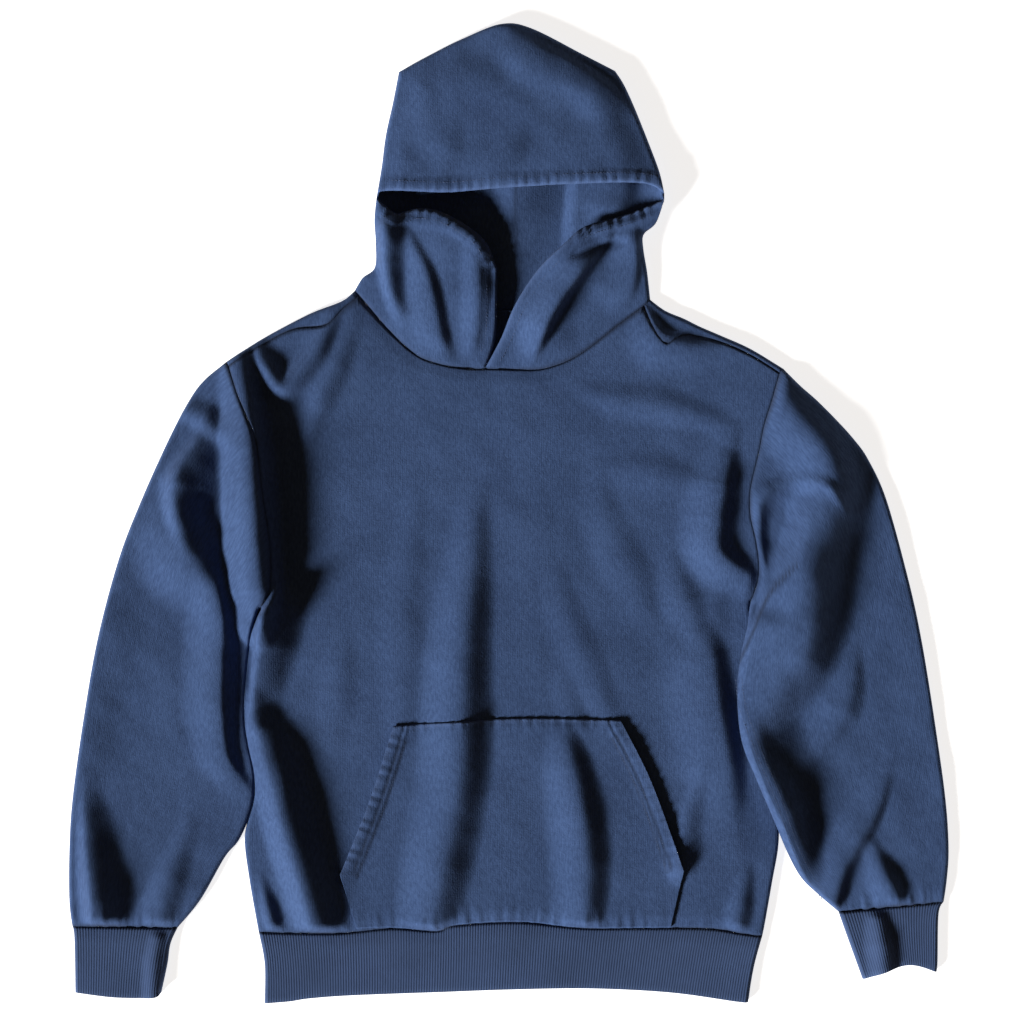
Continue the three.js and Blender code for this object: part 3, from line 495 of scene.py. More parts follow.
FOLDS = (
    # Left sleeve head: a roll beside the armhole seam, and a deep valley between it and the sleeve's ridge
    Fold((FRONT, SLEEVE_L), 36, 26, (
        (-247, -106, 18), (-247, -76, 30), (-251, -30, 33), (-253, 10, 33), (-255, 50, 30), (-258, 85, 26),
        (-262, 115, 18), (-269, 150, 9)), power=1.0),
    Fold((SLEEVE_L,), 14, 22, ((-276, 66, 3), (-290, 82, 6), (-310, 96, 6), (-332, 104, 3))),
    Fold((SLEEVE_L,), 22, 46, (
        (-324, -22, 3), (-330, 4, 13), (-329, 30, 19), (-318, 54, 15), (-305, 77, 7), (-300, 92, 2))),
    Fold((SLEEVE_L,), 64, 44, (
        (-286, -96, 4), (-301, -70, 12), (-318, -42, 20), (-329, -8, 14), (-332, 24, 3))),
    Fold((SLEEVE_L,), 44, 18, (
        (-270, -262, 3), (-282, -240, 8), (-287, -200, 12), (-287, -150, 13), (-286, -100, 12),
        (-290, -72, 6))),
    Fold((SLEEVE_L,), 20, 42, (
        (-408, -426, 17), (-412, -385, 20), (-417, -345, 14), (-420, -310, 7), (-422, -275, 1))),
    Fold((SLEEVE_L,), 26, 26, ((-352, -416, 8), (-340, -370, 6), (-322, -320, 2))),
    Fold((SLEEVE_L,), 6, 46, (
        (-434, -300, 2), (-422, -210, 3), (-406, -120, 4), (-384, -40, 4), (-358, 25, 3), (-334, 80, 1))),
    # Left side of the body
    Fold((FRONT,), 7, 44, (
        (-257, -204, 6), (-253, -168, 15), (-248, -130, 22), (-243, -98, 22), (-242, -72, 8),
        (-244, -50, 2))),
    Fold((FRONT,), 27, 44, (
        (-188, -428, 16), (-200, -388, 20), (-212, -345, 22), (-225, -300, 23), (-238, -250, 21),
        (-248, -216, 13), (-256, -196, 4))),
    Fold((FRONT,), 12, 14, ((-233, -422, 7), (-240, -396, 6), (-247, -366, 1))),
    Fold((FRONT,), 18, 24, (
        (-176, 192, 3), (-196, 152, 9), (-224, 124, 12), (-243, 146, 9), (-252, 166, 3))),
    Fold((FRONT,), 24, 20, ((-204, 62, 0), (-190, 108, 5), (-172, 148, 5), (-156, 182, 1))),
    # Middle of the body
    Fold((FRONT,), 200, 190, ((0, -330, 1), (0, -130, 3), (0, 60, 1))),
    Fold((FRONT,), 46, 36, (
        (-82, -426, 10), (-67, -350, 14), (-57, -300, 14), (-50, -250, 14), (-48, -200, 13), (-47, -150, 12),
        (-43, -100, 10), (-38, -50, 6.5), (-34, 0, 2.5), (-31, 36, 0))),
    Fold((FRONT,), 40, 28, (
        (72, -426, 7), (75, -395, 9), (76, -350, 11), (71, -300, 11), (62, -252, 8), (56, -226, 4),
        (52, -208, 0))),
    Fold((FRONT,), 32, 26, ((-108, -225, 1), (-106, -120, 2.4), (-100, -50, 1.6), (-90, 40, 0))),
    Fold((FRONT,), 30, 24, ((-176, -250, 0), (-170, -180, 2), (-164, -100, 0))),
    Fold((FRONT,), 34, 26, ((104, -215, 1), (76, -150, 2.6), (58, -105, 2), (44, -40, 0))),
    Fold((FRONT,), 24, 18, ((68, -210, 1.6), (44, -140, 0))),
    Fold((FRONT,), 36, 28, ((146, -120, 0), (116, -50, 2.8), (94, 0, 2), (82, 50, 0))),
    Fold((FRONT,), 30, 24, ((198, -140, 0), (175, -88, 3.4), (158, -30, 0))),
    Fold((FRONT,), 34, 24, ((220, 18, 0), (150, 40, 2.4), (70, 46, 0))),
    Fold((FRONT,), 24, 24, ((232, 82, 0), (165, 104, 3), (110, 112, 3.4), (60, 128, 0))),
    Fold((FRONT,), 40, 14, ((212, 166, 1), (176, 168, 6), (152, 174, 8), (140, 192, 5), (135, 208, 1))),
    Fold((FRONT,), 18, 22, ((170, -350, 5), (180, -300, 3), (196, -240, 0))),
    # Right side of the body
    Fold((FRONT,), 42, 24, ((238, -64, 5), (207, -38, 12), (206, -5, 13), (212, 28, 11), (220, 64, 2))),
    Fold((FRONT,), 60, 26, ((224, -316, 1), (216, -250, 8), (208, -200, 9), (200, -145, 6), (197, -108, 0))),
    Fold((FRONT,), 20, 16, ((225, -424, 6), (232, -390, 5), (240, -350, 0))),
    # Right sleeve
    Fold((SLEEVE_R,), 60, 52, (
        (232, -212, 3), (250, -196, 9), (270, -174, 16), (286, -144, 24), (294, -108, 28), (297, -75, 29),
        (302, -42, 28), (311, -14, 26), (320, 12, 24), (320, 38, 22), (309, 64, 19), (290, 86, 15),
        (262, 130, 9))),
    Fold((SLEEVE_R,), 13, 13, (
        (250, -50, 3), (243, -22, 6), (247, 4, 7), (262, 21, 6), (288, 31, 4), (314, 27, 4), (330, 8, 1))),
    Fold((SLEEVE_R,), 22, 26, ((262, -56, -5), (268, -30, -12), (274, -6, -12), (286, 14, -6))),
    Fold((SLEEVE_R,), 8, 46, (
        (233, -172, 1), (238, -140, 7), (250, -104, 10), (264, -78, 10), (284, -54, 8), (292, -24, 2))),
    Fold(
        (SLEEVE_R,), 40, 22, ((290, -250, 2), (316, -222, 5), (334, -196, 7), (341, -168, 4), (343, -130, 1))),
    Fold((SLEEVE_R,), 3, 34, (
        (297, -366, 3), (283, -330, 11), (269, -298, 14), (257, -272, 11), (245, -244, 7), (237, -216, 4),
        (233, -190, 0)),
        crown=4.0),
    Fold((SLEEVE_R,), 34, 15, (
        (322, -394, 9), (331, -355, 10), (348, -325, 9), (364, -298, 6), (378, -262, 1))),
    Fold((SLEEVE_R,), 26, 20, ((388, -396, 8), (376, -366, 9), (364, -338, 2))),
    # Cuffs
    Fold((CUFF_R,), 20, 20, ((374, -466, 8), (371, -430, 9), (366, -400, 4))),
    Fold((CUFF_L,), 14, 12, ((-355, -486, 4), (-354, -450, 4), (-350, -424, 3))),
)

# Hood heights: spots that its outer layer is hung between: x, y, z, and how far each one reaches
HOOD_SPOTS = (
    (-130, 235, 10, 60), (-60, 160, 9, 50), (0, 160, 10, 50), (90, 190, 10, 60), (130, 235, 11, 60),
    (-110, 290, 21, 50), (-50, 280, 24, 50), (-20, 235, 17, 45), (20, 215, 17, 45), (60, 262, 26, 50),
    (110, 282, 24, 50), (0, 330, 25, 90), (-100, 350, 23, 80), (110, 350, 25, 80), (0, 400, 23, 90),
    (0, 455, 19, 60),
)
HOOD_FOLDS = (
    # Left flap: a rise along its edge, one over the second valley, and one beside the opening
    Fold((HOOD,), 12, 24, ((-108, 185, 2), (-117, 215, 8), (-122, 248, 15), (-123, 282, 13))),
    Fold((HOOD,), 36, 13, (
        (-58, 146, 3), (-68, 172, 6), (-75, 205, 7), (-83, 238, 6), (-94, 262, 4), (-102, 280, 1))),
    Fold((HOOD,), 22, 16, ((-38, 150, 3), (-33, 185, 6), (-30, 225, 8), (-33, 256, 6))),
    Fold((HOOD,), 8, 6, (
        (-20, 246, 1), (-27, 262, 2), (-40, 273, 2.4), (-60, 283, 2.4), (-90, 289, 2.4), (-112, 289, 2.4),
        (-126, 300, 1))),
    # Right flap: the rise beside the deep fold, the cloth beyond it, and the turned lip
    Fold((HOOD,), 34, 11, ((26, 158, 6), (36, 184, 17), (50, 210, 19), (72, 240, 14), (94, 268, 5))),
    Fold((HOOD,), 34, 10, ((112, 196, 1), (124, 232, 4), (124, 268, 5))),
    Fold((HOOD,), 8, 7, ((146, 298, 2), (130, 290, 3), (110, 285, 3), (86, 280, 3), (68, 270, 2))),
    Fold((HOOD,), 9, 7, ((112, 269, -4), (90, 264, -6), (66, 256, -3))),
    # Crown: soft patches over the forehead, and the line where the second half of the hood shows
    Fold((HOOD,), 22, 24, ((-108, 322, 1), (-110, 350, 3.5), (-106, 395, 0))),
    Fold((HOOD,), 26, 22, ((-68, 334, 1), (-62, 362, 2.6), (-52, 396, 0))),
    Fold((HOOD,), 26, 22, ((-36, 324, 1), (-12, 343, 3.4), (6, 362, 2.4), (18, 386, 0))),
    Fold((HOOD,), 50, 14, ((124, 392, 1), (98, 421, 5), (60, 446, 7), (22, 466, 7), (-6, 482, 3))),
)
HOOD_INSIDE_FOLDS = (
    Fold((HOOD,), 32, 58, ((2, 262, 3), (5, 300, 8), (6, 335, 9))),
    Fold((HOOD,), 14, 60, ((58, 250, 2), (66, 290, 9), (70, 330, 9))),
    Fold((HOOD,), 44, 24, ((98, 272, 2), (108, 300, 8), (113, 332, 8))),
)
# The hood's centre back seam, darkened in the colour as a painted line of shade
HOOD_BACK_SEAM = Line((8, 335), (7, 300), (6, 262))
MOUTH_HEIGHT = 308.0
MOUTH_REACH = 40.0
MOUTH_RISE = {1: 20.0, -1: 9.0}


@dataclass(frozen=True)
class Outline:
    """Closed edges, sewn lines with their neighbour, and lines that the cloth dips to, of a piece."""

    closed: tuple[Line, ...]
    sewn: tuple[tuple[Line, str], ...]
    dips: tuple[Line, ...]
    rib: bool = False
    lap: tuple[Line, Place, int] | None = None


OUTLINES = {
    FRONT: Outline(
        (LEFT_SIDE, RIGHT_SIDE, LEFT_SHOULDER_TOP, RIGHT_SHOULDER_TOP),
        ((LEFT_ARMHOLE, SLEEVE_L), (RIGHT_ARMHOLE, SLEEVE_R), (HEM_SEAM, BAND)),
        (HEM_SEAM, LEFT_NECK, RIGHT_NECK),
    ),
    SLEEVE_L: Outline(
        (LEFT_SLEEVE_OUTER, LEFT_SLEEVE_UNDER), ((LEFT_ARMHOLE, FRONT), (LEFT_CUFF_SEAM, CUFF_L)),
        (LEFT_CUFF_SEAM,),
    ),
    SLEEVE_R: Outline(
        (RIGHT_SLEEVE_OUTER, RIGHT_SLEEVE_UNDER), ((RIGHT_ARMHOLE, FRONT), (RIGHT_CUFF_SEAM, CUFF_R)),
        (RIGHT_CUFF_SEAM,), lap=(RIGHT_SIDE, RIGHT_ARMPIT, -1),
    ),
    BAND: Outline((LEFT_BAND_SIDE, RIGHT_BAND_SIDE), ((HEM_SEAM, FRONT),), (HEM_SEAM,), rib=True),
    CUFF_L: Outline(
        (LEFT_CUFF_OUTER, LEFT_CUFF_INNER), ((LEFT_CUFF_SEAM, SLEEVE_L),), (LEFT_CUFF_SEAM,), rib=True,
    ),
    CUFF_R: Outline(
        (RIGHT_CUFF_OUTER, RIGHT_CUFF_INNER), ((RIGHT_CUFF_SEAM, SLEEVE_R),), (RIGHT_CUFF_SEAM,), rib=True,
    ),
    HOOD: Outline(
        (LEFT_HOOD_SIDE, LEFT_CROWN_SIDE, CROWN_EDGE, RIGHT_CROWN_SIDE, RIGHT_HOOD_SIDE),
        ((LEFT_NECK, FRONT), (RIGHT_NECK, FRONT)), (LEFT_NECK, RIGHT_NECK),
    ),
}
SHOULDER_SEAMS = (LEFT_SHOULDER, RIGHT_SHOULDER)
NECK_SEAMS = (LEFT_NECK, RIGHT_NECK)
SIDES = (LEFT_SIDE, RIGHT_SIDE)

RELIEF_CELLS = 64
RELIEF_TABLE = np.random.default_rng(11).random((RELIEF_CELLS, RELIEF_CELLS))

# Swells of lying cloth: how high, how wide, and how far the pattern is shifted
CLOTH_SWELLS = ((0.6, 52, 7.3), (0.45, 24, 1.9), (0.12, 9, 4.7))
HOOD_SWELLS = ((1.1, 42, 5.5), (0.6, 17, 2.2))
RIB_SWELLS = ((0.5, 45, 3.1),)
SLEEVE_UNEVENNESS = 1.6

# Gathers along a seam: the seam, how far they reach, their distance apart, and how high they are
GATHERS = {
    FRONT: (HEM_SEAM, 16.0, 17.0, 0.5),
    SLEEVE_L: (LEFT_CUFF_SEAM, 26.0, 15.0, 1.0),
    SLEEVE_R: (RIGHT_CUFF_SEAM, 26.0, 15.0, 1.0),
}
# Three waves make a gather uneven: the share, rate and start of each
GATHER_WAVES = ((0.5, 1.0, 0.0), (0.3, 1.37, 1.3), (0.2, 2.3, 0.4))


def relief(spots: np.ndarray, size: float, shift: float = 0.0) -> np.ndarray:
    """Smooth uneven relief of lying cloth.

    Args:
        spots: Places, one a row.
        size: Width of one swell, mm.
        shift: Moves the pattern, so that two uses differ.

    Returns:
        Values between -1 and 1.
    """
    at = spots / size + shift
    cell = np.floor(at).astype(int)
    local = smooth(at - cell)
    corner = [
        [RELIEF_TABLE[(cell[:, 0] + i) % RELIEF_CELLS, (cell[:, 1] + j) % RELIEF_CELLS] for j in (0, 1)]
        for i in (0, 1)
    ]
    low = corner[0][0] * (1 - local[:, 0]) + corner[1][0] * local[:, 0]
    high = corner[0][1] * (1 - local[:, 0]) + corner[1][1] * local[:, 0]
    return 2 * (low * (1 - local[:, 1]) + high * local[:, 1]) - 1


def uneven(spots: np.ndarray, swells: Iterable[tuple[float, float, float]]) -> np.ndarray:
    """Several reliefs on top of each other."""
    return sum(high * relief(spots, size, shift) for high, size, shift in swells)


def pucker(line: Line, spots: np.ndarray, reach: float, pitch: float) -> np.ndarray:
    """Small gathers along a stitched line.

    Args:
        line: The stitched line.
        spots: Places, one a row.
        reach: How far from the line they die out.
        pitch: Mean distance between them.

    Returns:
        Values between -1 and 1.
    """
    near = nearest_on(line.run(), spots)
    turn = 2 * math.pi * near.along / pitch
    wave = sum(share * np.sin(rate * turn + start) for share, rate, start in GATHER_WAVES)
    return wave * (1 - smooth(near.off / reach))


def loft(piece: str, spots: np.ndarray) -> np.ndarray:
    """Height of a piece's upper face before its edges are rounded down.

    Args:
        piece: The piece's name.
        spots: Places, one a row.

    Returns:
        Heights in mm.
    """
    outline = OUTLINES[piece]
    base = np.full(len(spots), RIB_HEIGHT if outline.rib else PANEL_HEIGHT)
    if piece == FRONT:
        side = off_from([line.run() for line in SIDES], spots)
        base = SIDE_HEIGHT + (base - SIDE_HEIGHT) * smooth((side - SIDE_SLOPE) / SIDE_SLOPE)
    dip = off_from([line.run() for line in outline.dips], spots)
    height = SEAM_HEIGHT + (base - SEAM_HEIGHT) * smooth(dip / SEAM_DIP_REACH)
    seams = [(nearest_on(line.run(), spots).off, neighbour) for line, neighbour in outline.sewn]
    for fold in FOLDS:
        if piece not in fold.on:
            continue
        high = fold.height(spots)
        for off, neighbour in seams:
            if neighbour not in fold.on:
                high = high * smooth(off / FOLD_FADE)
        height = height + high
    return height


def hood_loft(spots: np.ndarray) -> np.ndarray:
    """Height of the hood's outer layer, hung between its spots and down to the neck seam."""
    total, weights = np.zeros(len(spots)), np.zeros(len(spots))
    for x, y, z, reach in HOOD_SPOTS:
        off = np.hypot(spots[:, 0] - x, spots[:, 1] - y) / reach
        weight = (HANG_SOFTNESS + off * off) ** HANG_POWER
        total += weight * z
        weights += weight
    height = total / weights
    for fold in HOOD_FOLDS:
        height = height + fold.height(spots)
    neck = off_from([line.run() for line in NECK_SEAMS], spots)
    return SEAM_HEIGHT + (height - SEAM_HEIGHT) * smooth(neck / NECK_RISE)


def lap_lift(piece: str, spots: np.ndarray, reach: float = LAP_REACH) -> np.ndarray:
    """How far a sleeve is lifted where it laps the body's side, and reach mm before it."""
    lap = OUTLINES[piece].lap if piece in OUTLINES else None
    if lap is None:
        return np.zeros(len(spots))
    side, armpit, turn = lap
    lift = np.zeros(len(spots))
    near = nearest_on(side.run(), spots)
    inside = np.where(near.side * turn < 0, near.off, -near.off)
    close = (inside > -reach - 1) & (spots[:, 1] < armpit[1])
    if close.any():
        spots, inside = spots[close], inside[close]
        above = np.maximum(loft(FRONT, spots) - SIDE_HEIGHT, 0) * smooth((inside + LAP_BLEND) / LAP_BLEND)
        shown = smooth((inside + reach) / (reach + 1)) * smooth((armpit[1] - spots[:, 1]) / LAP_START)
        lift[close] = (SIDE_HEIGHT + above + LAP_CLEARANCE) * shown
    return lift


def seam_sink(piece: str, spots: np.ndarray) -> np.ndarray:
    """How far the cloth turns down into its sewn seams."""
    lines = [line for line, _ in OUTLINES[piece].sewn]
    if piece == FRONT:
        lines += [*SHOULDER_SEAMS, *NECK_SEAMS]
    off = off_from([line.run() for line in lines], spots)
    return SEAM_SINK * (1 - round_off(off, SEAM_ROLL))


def swell(piece: str, spots: np.ndarray) -> np.ndarray:
    """Small uneven relief and seam gathers of a piece."""
    if OUTLINES[piece].rib:
        return uneven(spots, RIB_SWELLS)
    height = uneven(spots, CLOTH_SWELLS)
    if piece in (SLEEVE_L, SLEEVE_R):
        height = height * SLEEVE_UNEVENNESS
    if piece in GATHERS:
        line, reach, pitch, high = GATHERS[piece]
        height = height + high * pucker(line, spots, reach, pitch)
    return height


def fold_line(piece: str, spots: np.ndarray) -> np.ndarray:
    """Height of a folded edge, halfway between its two layers."""
    if piece != HOOD:
        return lap_lift(piece, spots) + FOLD_LINE_HEIGHT
    rise = np.where(spots[:, 0] > 0, MOUTH_RISE[1], MOUTH_RISE[-1])
    return FOLD_LINE_HEIGHT + rise * np.exp(-(((spots[:, 1] - MOUTH_HEIGHT) / MOUTH_REACH) ** 2))


def top_height(piece: str, spots: np.ndarray) -> np.ndarray:
    """Height of a piece's upper face, with its edges rounded down to the fold line."""
    off = off_from([line.run() for line in OUTLINES[piece].closed], spots)
    rim = fold_line(piece, spots)
    if piece == HOOD:
        height = hood_loft(spots) + uneven(spots, HOOD_SWELLS)
        crown = off_from([line.run() for line in (LEFT_CROWN_SIDE, CROWN_EDGE, RIGHT_CROWN_SIDE)], spots)
        height = rim + (height - rim) * (CROWN_LOW + (1 - CROWN_LOW) * smooth(crown / CROWN_REACH))
    else:
        height = np.maximum(loft(piece, spots), LEAST_HEIGHT) + swell(piece, spots)
    height = height - seam_sink(piece, spots)
    lift = lap_lift(piece, spots, TOP_LAP_REACH)
    return rim + (height + lift - rim) * round_off(off, TOP_ROUND)


def under_height(piece: str, spots: np.ndarray) -> np.ndarray:
    """Height of a piece's lower face: flat on the table, turning up to the fold line."""
    off = off_from([line.run() for line in OUTLINES[piece].closed], spots)
    if piece == HOOD:
        rim = fold_line(piece, spots)
        reach = UNDER_ROUND + HOOD_UNDER_SLOPE * (rim - FOLD_LINE_HEIGHT)
        height = rim * (1 - round_off(off, reach))
        for fold in HOOD_INSIDE_FOLDS:
            height = height + fold.height(spots) * smooth(off / INSIDE_FADE)
        return np.maximum(height, 0)
    return lap_lift(piece, spots) + FOLD_LINE_HEIGHT * (1 - round_off(off, UNDER_ROUND))


def stations(length: float, step: float, start: bool = False, end: bool = False) -> np.ndarray:
    """Shares of a length about one step apart, closer beside a rounded end.

    Args:
        length: The length in mm.
        step: The step in mm.
        start: Whether the start is rounded.
        end: Whether the end is rounded.

    Returns:
        The shares, from 0 to 1.
    """
    near = [off / length for off in TIGHT_STEPS] if start else []
    far = [1 - off / length for off in reversed(TIGHT_STEPS)] if end else []
    low, high = (near[-1] if near else 0.0), (far[0] if far else 1.0)
    count = max(1, round((high - low) * length / step))
    middle = np.linspace(low, high, count + 1)
    head = [0.0, *near[:-1]] if near else []
    tail = [*far[1:], 1.0] if far else []
    return np.array([*head, *middle, *tail])


def stretches(parts: Sequence[np.ndarray], breaks: Sequence[float]) -> np.ndarray:
    """Shares of several stretches laid end to end over the given breaks."""
    shares = [np.array([0.0])]
    for k, part in enumerate(parts):
        shares.append(breaks[k] + (breaks[k + 1] - breaks[k]) * part[1:])
    return np.concatenate(shares)


def mirrored(shares: np.ndarray) -> np.ndarray:
    """The same shares counted from the other end."""
    return 1 - shares[::-1]


class Edge(Enum):
    """The four borders of a layer."""

    START = "first column"
    END = "last column"
    LOWER = "first row"
    UPPER = "last row"


EDGE_CELLS = {
    Edge.START: np.s_[0, :], Edge.END: np.s_[-1, :], Edge.LOWER: np.s_[:, 0], Edge.UPPER: np.s_[:, -1],
}


@dataclass
class Layer:
    """One layer of cloth: a grid between four borders.

    height gives z at places. rims names the borders that lie on a fold line, and sides tells the rows
    whose two ends another piece takes over half way up, so that their wall thins out.
    """

    lower: Border
    upper: Border
    left: Border
    right: Border
    us: np.ndarray
    vs: np.ndarray
    height: Callable[[np.ndarray], np.ndarray]
    rim: Callable[[np.ndarray], np.ndarray] | None = None
    rims: tuple[Edge, ...] = ()
    sides: Callable[[np.ndarray], np.ndarray] | None = None
    raised: Callable[[np.ndarray, np.ndarray], np.ndarray] | None = None
    under: bool = False
    grain_size: Place | None = None
    worn: tuple[Line, ...] = ()
    # Seams and creases beside which shade is painted into the colour
    seams: tuple[Line, ...] = ()
    shift: float = 0.0
    RELAX_GRID: ClassVar[int] = 49
    RELAX_ROUNDS: ClassVar[int] = 700

    def plan(self) -> np.ndarray:
        """The layer's plan, as an array of columns by rows by x and y.

        The blend of its borders folds over beside a corner that is nearly straight, such as an armpit, so
        it is relaxed on a coarse grid first.
        """
        even = np.linspace(0, 1, self.RELAX_GRID)
        start = self.blend(even, even)
        relaxed = start.copy()
        for _ in range(self.RELAX_ROUNDS):
            east, west = relaxed[2:, 1:-1], relaxed[:-2, 1:-1]
            north, south = relaxed[1:-1, 2:], relaxed[1:-1, :-2]
            across, along = (east - west) / 2, (north - south) / 2
            twist = relaxed[2:, 2:] - relaxed[2:, :-2] - relaxed[:-2, 2:] + relaxed[:-2, :-2]
            wide = (across * across).sum(-1, keepdims=True)
            high = (along * along).sum(-1, keepdims=True)
            skew = (across * along).sum(-1, keepdims=True)
            relaxed[1:-1, 1:-1] = (high * (east + west) + wide * (north + south) - skew * twist / 2) / (
                2 * (high + wide)
            )
        shift = relaxed - start
        rows = np.array([[np.interp(self.vs, even, line[:, k]) for k in (0, 1)] for line in shift])
        moved = np.array([
            [np.interp(self.us, even, rows[:, k, j]) for k in (0, 1)] for j in range(len(self.vs))
        ])
        return self.blend(self.us, self.vs) + moved.transpose(2, 0, 1)

    def blend(self, us: np.ndarray, vs: np.ndarray) -> np.ndarray:
        """Blends the four borders.

        Args:
            us: Shares from the left border to the right one.
            vs: Shares from the lower border to the upper one.

        Returns:
            Places, columns by rows by x and y.
        """
        u, v = us[:, None, None], vs[None, :, None]
        low, high = self.lower(us)[:, None], self.upper(us)[:, None]
        left, right = self.left(vs)[None], self.right(vs)[None]
        return (
            (1 - v) * low + v * high + (1 - u) * left + u * right
            - (1 - u) * (1 - v) * low[:1] - u * (1 - v) * low[-1:]
            - (1 - u) * v * high[:1] - u * v * high[-1:]
        )

    def points(self) -> np.ndarray:
        """The layer's points, columns by rows by x, y and z, in mm."""
        plan = self.plan()
        flat = plan.reshape(-1, 2)
        z = self.height(flat).reshape(plan.shape[:2])
        if self.raised is not None:
            z = z + self.raised(self.us, self.vs)
        if self.rim is not None:
            edge = self.rim(flat).reshape(z.shape)
            for border, at in EDGE_CELLS.items():
                if border in self.rims:
                    z[at] = edge[at]
            if self.sides is not None:
                shift = -SEAM_GAP / 2 if self.under else SEAM_GAP / 2
                rows = self.sides(self.vs)
                for column in (0, -1):
                    z[column, rows] = edge[column, rows] + shift
        return np.dstack([plan, z])


# Attribute for the material: x and y along the cloth, and z above 0 where worn, below 0 beside a seam
# or crease, where shade is painted into the colour
GRAIN = "grain"
WALL = "wall"
WORN_REACH = 3.5
# How far from a seam or crease the painted shade reaches, mm
SEAM_SHADE_REACH = 2.4


class Skin:
    """The layers of one piece as one open surface, which a modifier then gives its thickness."""

    def __init__(self) -> None:
        """Starts an empty surface."""
        self.bm = bmesh.new()
        self.grain = self.bm.verts.layers.float_vector.new(GRAIN)
        self.wall = self.bm.verts.layers.deform.verify()

    def add(self, layer: Layer) -> None:
        """Lays a grid over a layer's points.

        Args:
            layer: The layer.
        """
        points = layer.points()
        columns, rows = points.shape[:2]
        made = bmesh.ops.create_grid(
            self.bm, x_segments=columns - 1, y_segments=rows - 1, size=0.5
        )["verts"]
        flat = points.reshape(-1, 3)
        if layer.grain_size is None:
            grain = flat[:, :2] + layer.shift
        else:
            u, v = np.meshgrid(layer.us * layer.grain_size[0], layer.vs * layer.grain_size[1], indexing="ij")
            grain = np.stack([u.ravel() + layer.shift, v.ravel()], axis=-1)
        wear_and_seam_shade = np.zeros(len(flat))
        if layer.worn:
            off = off_from([line.run() for line in layer.worn], flat[:, :2])
            wear_and_seam_shade = np.exp(-((off / WORN_REACH) ** 2))
        # Painted shade: beside a seam or crease the value goes below 0, and the material darkens the colour
        # there
        if layer.seams:
            off = off_from([line.run() for line in layer.seams], flat[:, :2])
            wear_and_seam_shade = np.where(off < SEAM_SHADE_REACH, off / SEAM_SHADE_REACH - 1, wear_and_seam_shade)
        share = np.ones((columns, rows))
        if layer.sides is not None:
            thin = layer.sides(layer.vs)
            share[0, thin] = share[-1, thin] = SIDE_WALL_SHARE
        share = share.ravel()
        for vert in made:
            column = round((vert.co.x + 0.5) * (columns - 1))
            row = round((vert.co.y + 0.5) * (rows - 1))
            at = column * rows + row
            vert.co = flat[at] * MM
            vert[self.grain] = (grain[at, 0] * MM, grain[at, 1] * MM, wear_and_seam_shade[at])
            vert[self.wall][0] = share[at]
        i, j = columns // 2, rows // 2
        here = points[i - 1, j - 1]
        across, along = points[i, j - 1] - here, points[i - 1, j] - here
        if (across[0] * along[1] - across[1] * along[0] > 0) == layer.under:
            faces = list({face for vert in made for face in vert.link_faces})
            bmesh.ops.reverse_faces(self.bm, faces=faces)

    def close(self, name: str, thickness: float) -> bpy.types.Object:
        """Merges what the layers share and gives the piece its wall.

        Args:
            name: The piece's name.
            thickness: Cloth thickness, mm.

        Returns:
            The piece.
        """
        bmesh.ops.remove_doubles(self.bm, verts=self.bm.verts, dist=MERGE_REACH * MM)
        piece = placed(name, self.bm)
        group = piece.vertex_groups.new(name=WALL)
        wall = piece.modifiers.new("Wall", "SOLIDIFY")
        wall.thickness = thickness * MM
        wall.offset = -1
        wall.use_rim = True
        wall.vertex_group = group.name
        return piece


def placed(name: str, bm: bmesh.types.BMesh) -> bpy.types.Object:
    """Makes an object at the origin out of a bmesh, and frees the bmesh.

    Args:
        name: The piece's name.
        bm: Its mesh, in metres.

    Returns:
        The object, smooth shaded and in the scene.
    """
    mesh = bpy.data.meshes.new(name)
    bm.to_mesh(mesh)
    bm.free()
    mesh.shade_smooth()
    piece = bpy.data.objects.new(name, mesh)
    bpy.context.scene.collection.objects.link(piece)
    return piece


def dress(piece: bpy.types.Object, finish: bpy.types.Material, node: str | None = None) -> None:
    """Gives a piece its finish, hangs it on the body and hides the CAD node that it replaces.

    Args:
        piece: The piece.
        finish: Its material.
        node: The CAD node that it replaces, if it does.
    """
    piece.data.materials.append(finish)
    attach(piece, BODY)
    if node is not None:
        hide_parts(node)
    log.info("%s: %d faces", piece.name, len(piece.data.polygons))


def linear(colour: str) -> tuple[float, float, float, float]:
    """Turns an sRGB hex colour to linear values.

    Args:
        colour: Like "#3a4a6d".

    Returns:
        Red, green, blue and alpha.
    """
    parts = [int(colour[k : k + 2], 16) / 255 for k in (1, 3, 5)]
    return (*(p / 12.92 if p <= 0.04045 else ((p + 0.055) / 1.055) ** 2.4 for p in parts), 1.0)


def add_node(tree: bpy.types.NodeTree, kind: str, settings: dict | None = None, **links) -> bpy.types.Node:
    """Adds a node with its settings, values and links.

    Args:
        tree: The node tree.
        kind: The node's type name.
        settings: Properties of the node.
        links: Socket names, with _ for a space, each with a value or the socket that feeds it.

    Returns:
        The node.
    """
    node = tree.nodes.new(kind)
    for key, value in (settings or {}).items():
        setattr(node, key, value)
    for key, value in links.items():
        socket = node.inputs[int(key[1:])] if key[1:].isdigit() else node.inputs[key.replace("_", " ")]
        if isinstance(value, bpy.types.NodeSocket):
            tree.links.new(value, socket)
        else:
            socket.default_value = value
    return node


# Blender's wave texture has one band in 20 of its units by turn, so this makes a band one pitch wide
WAVE_TURN = 2 * math.pi / 20


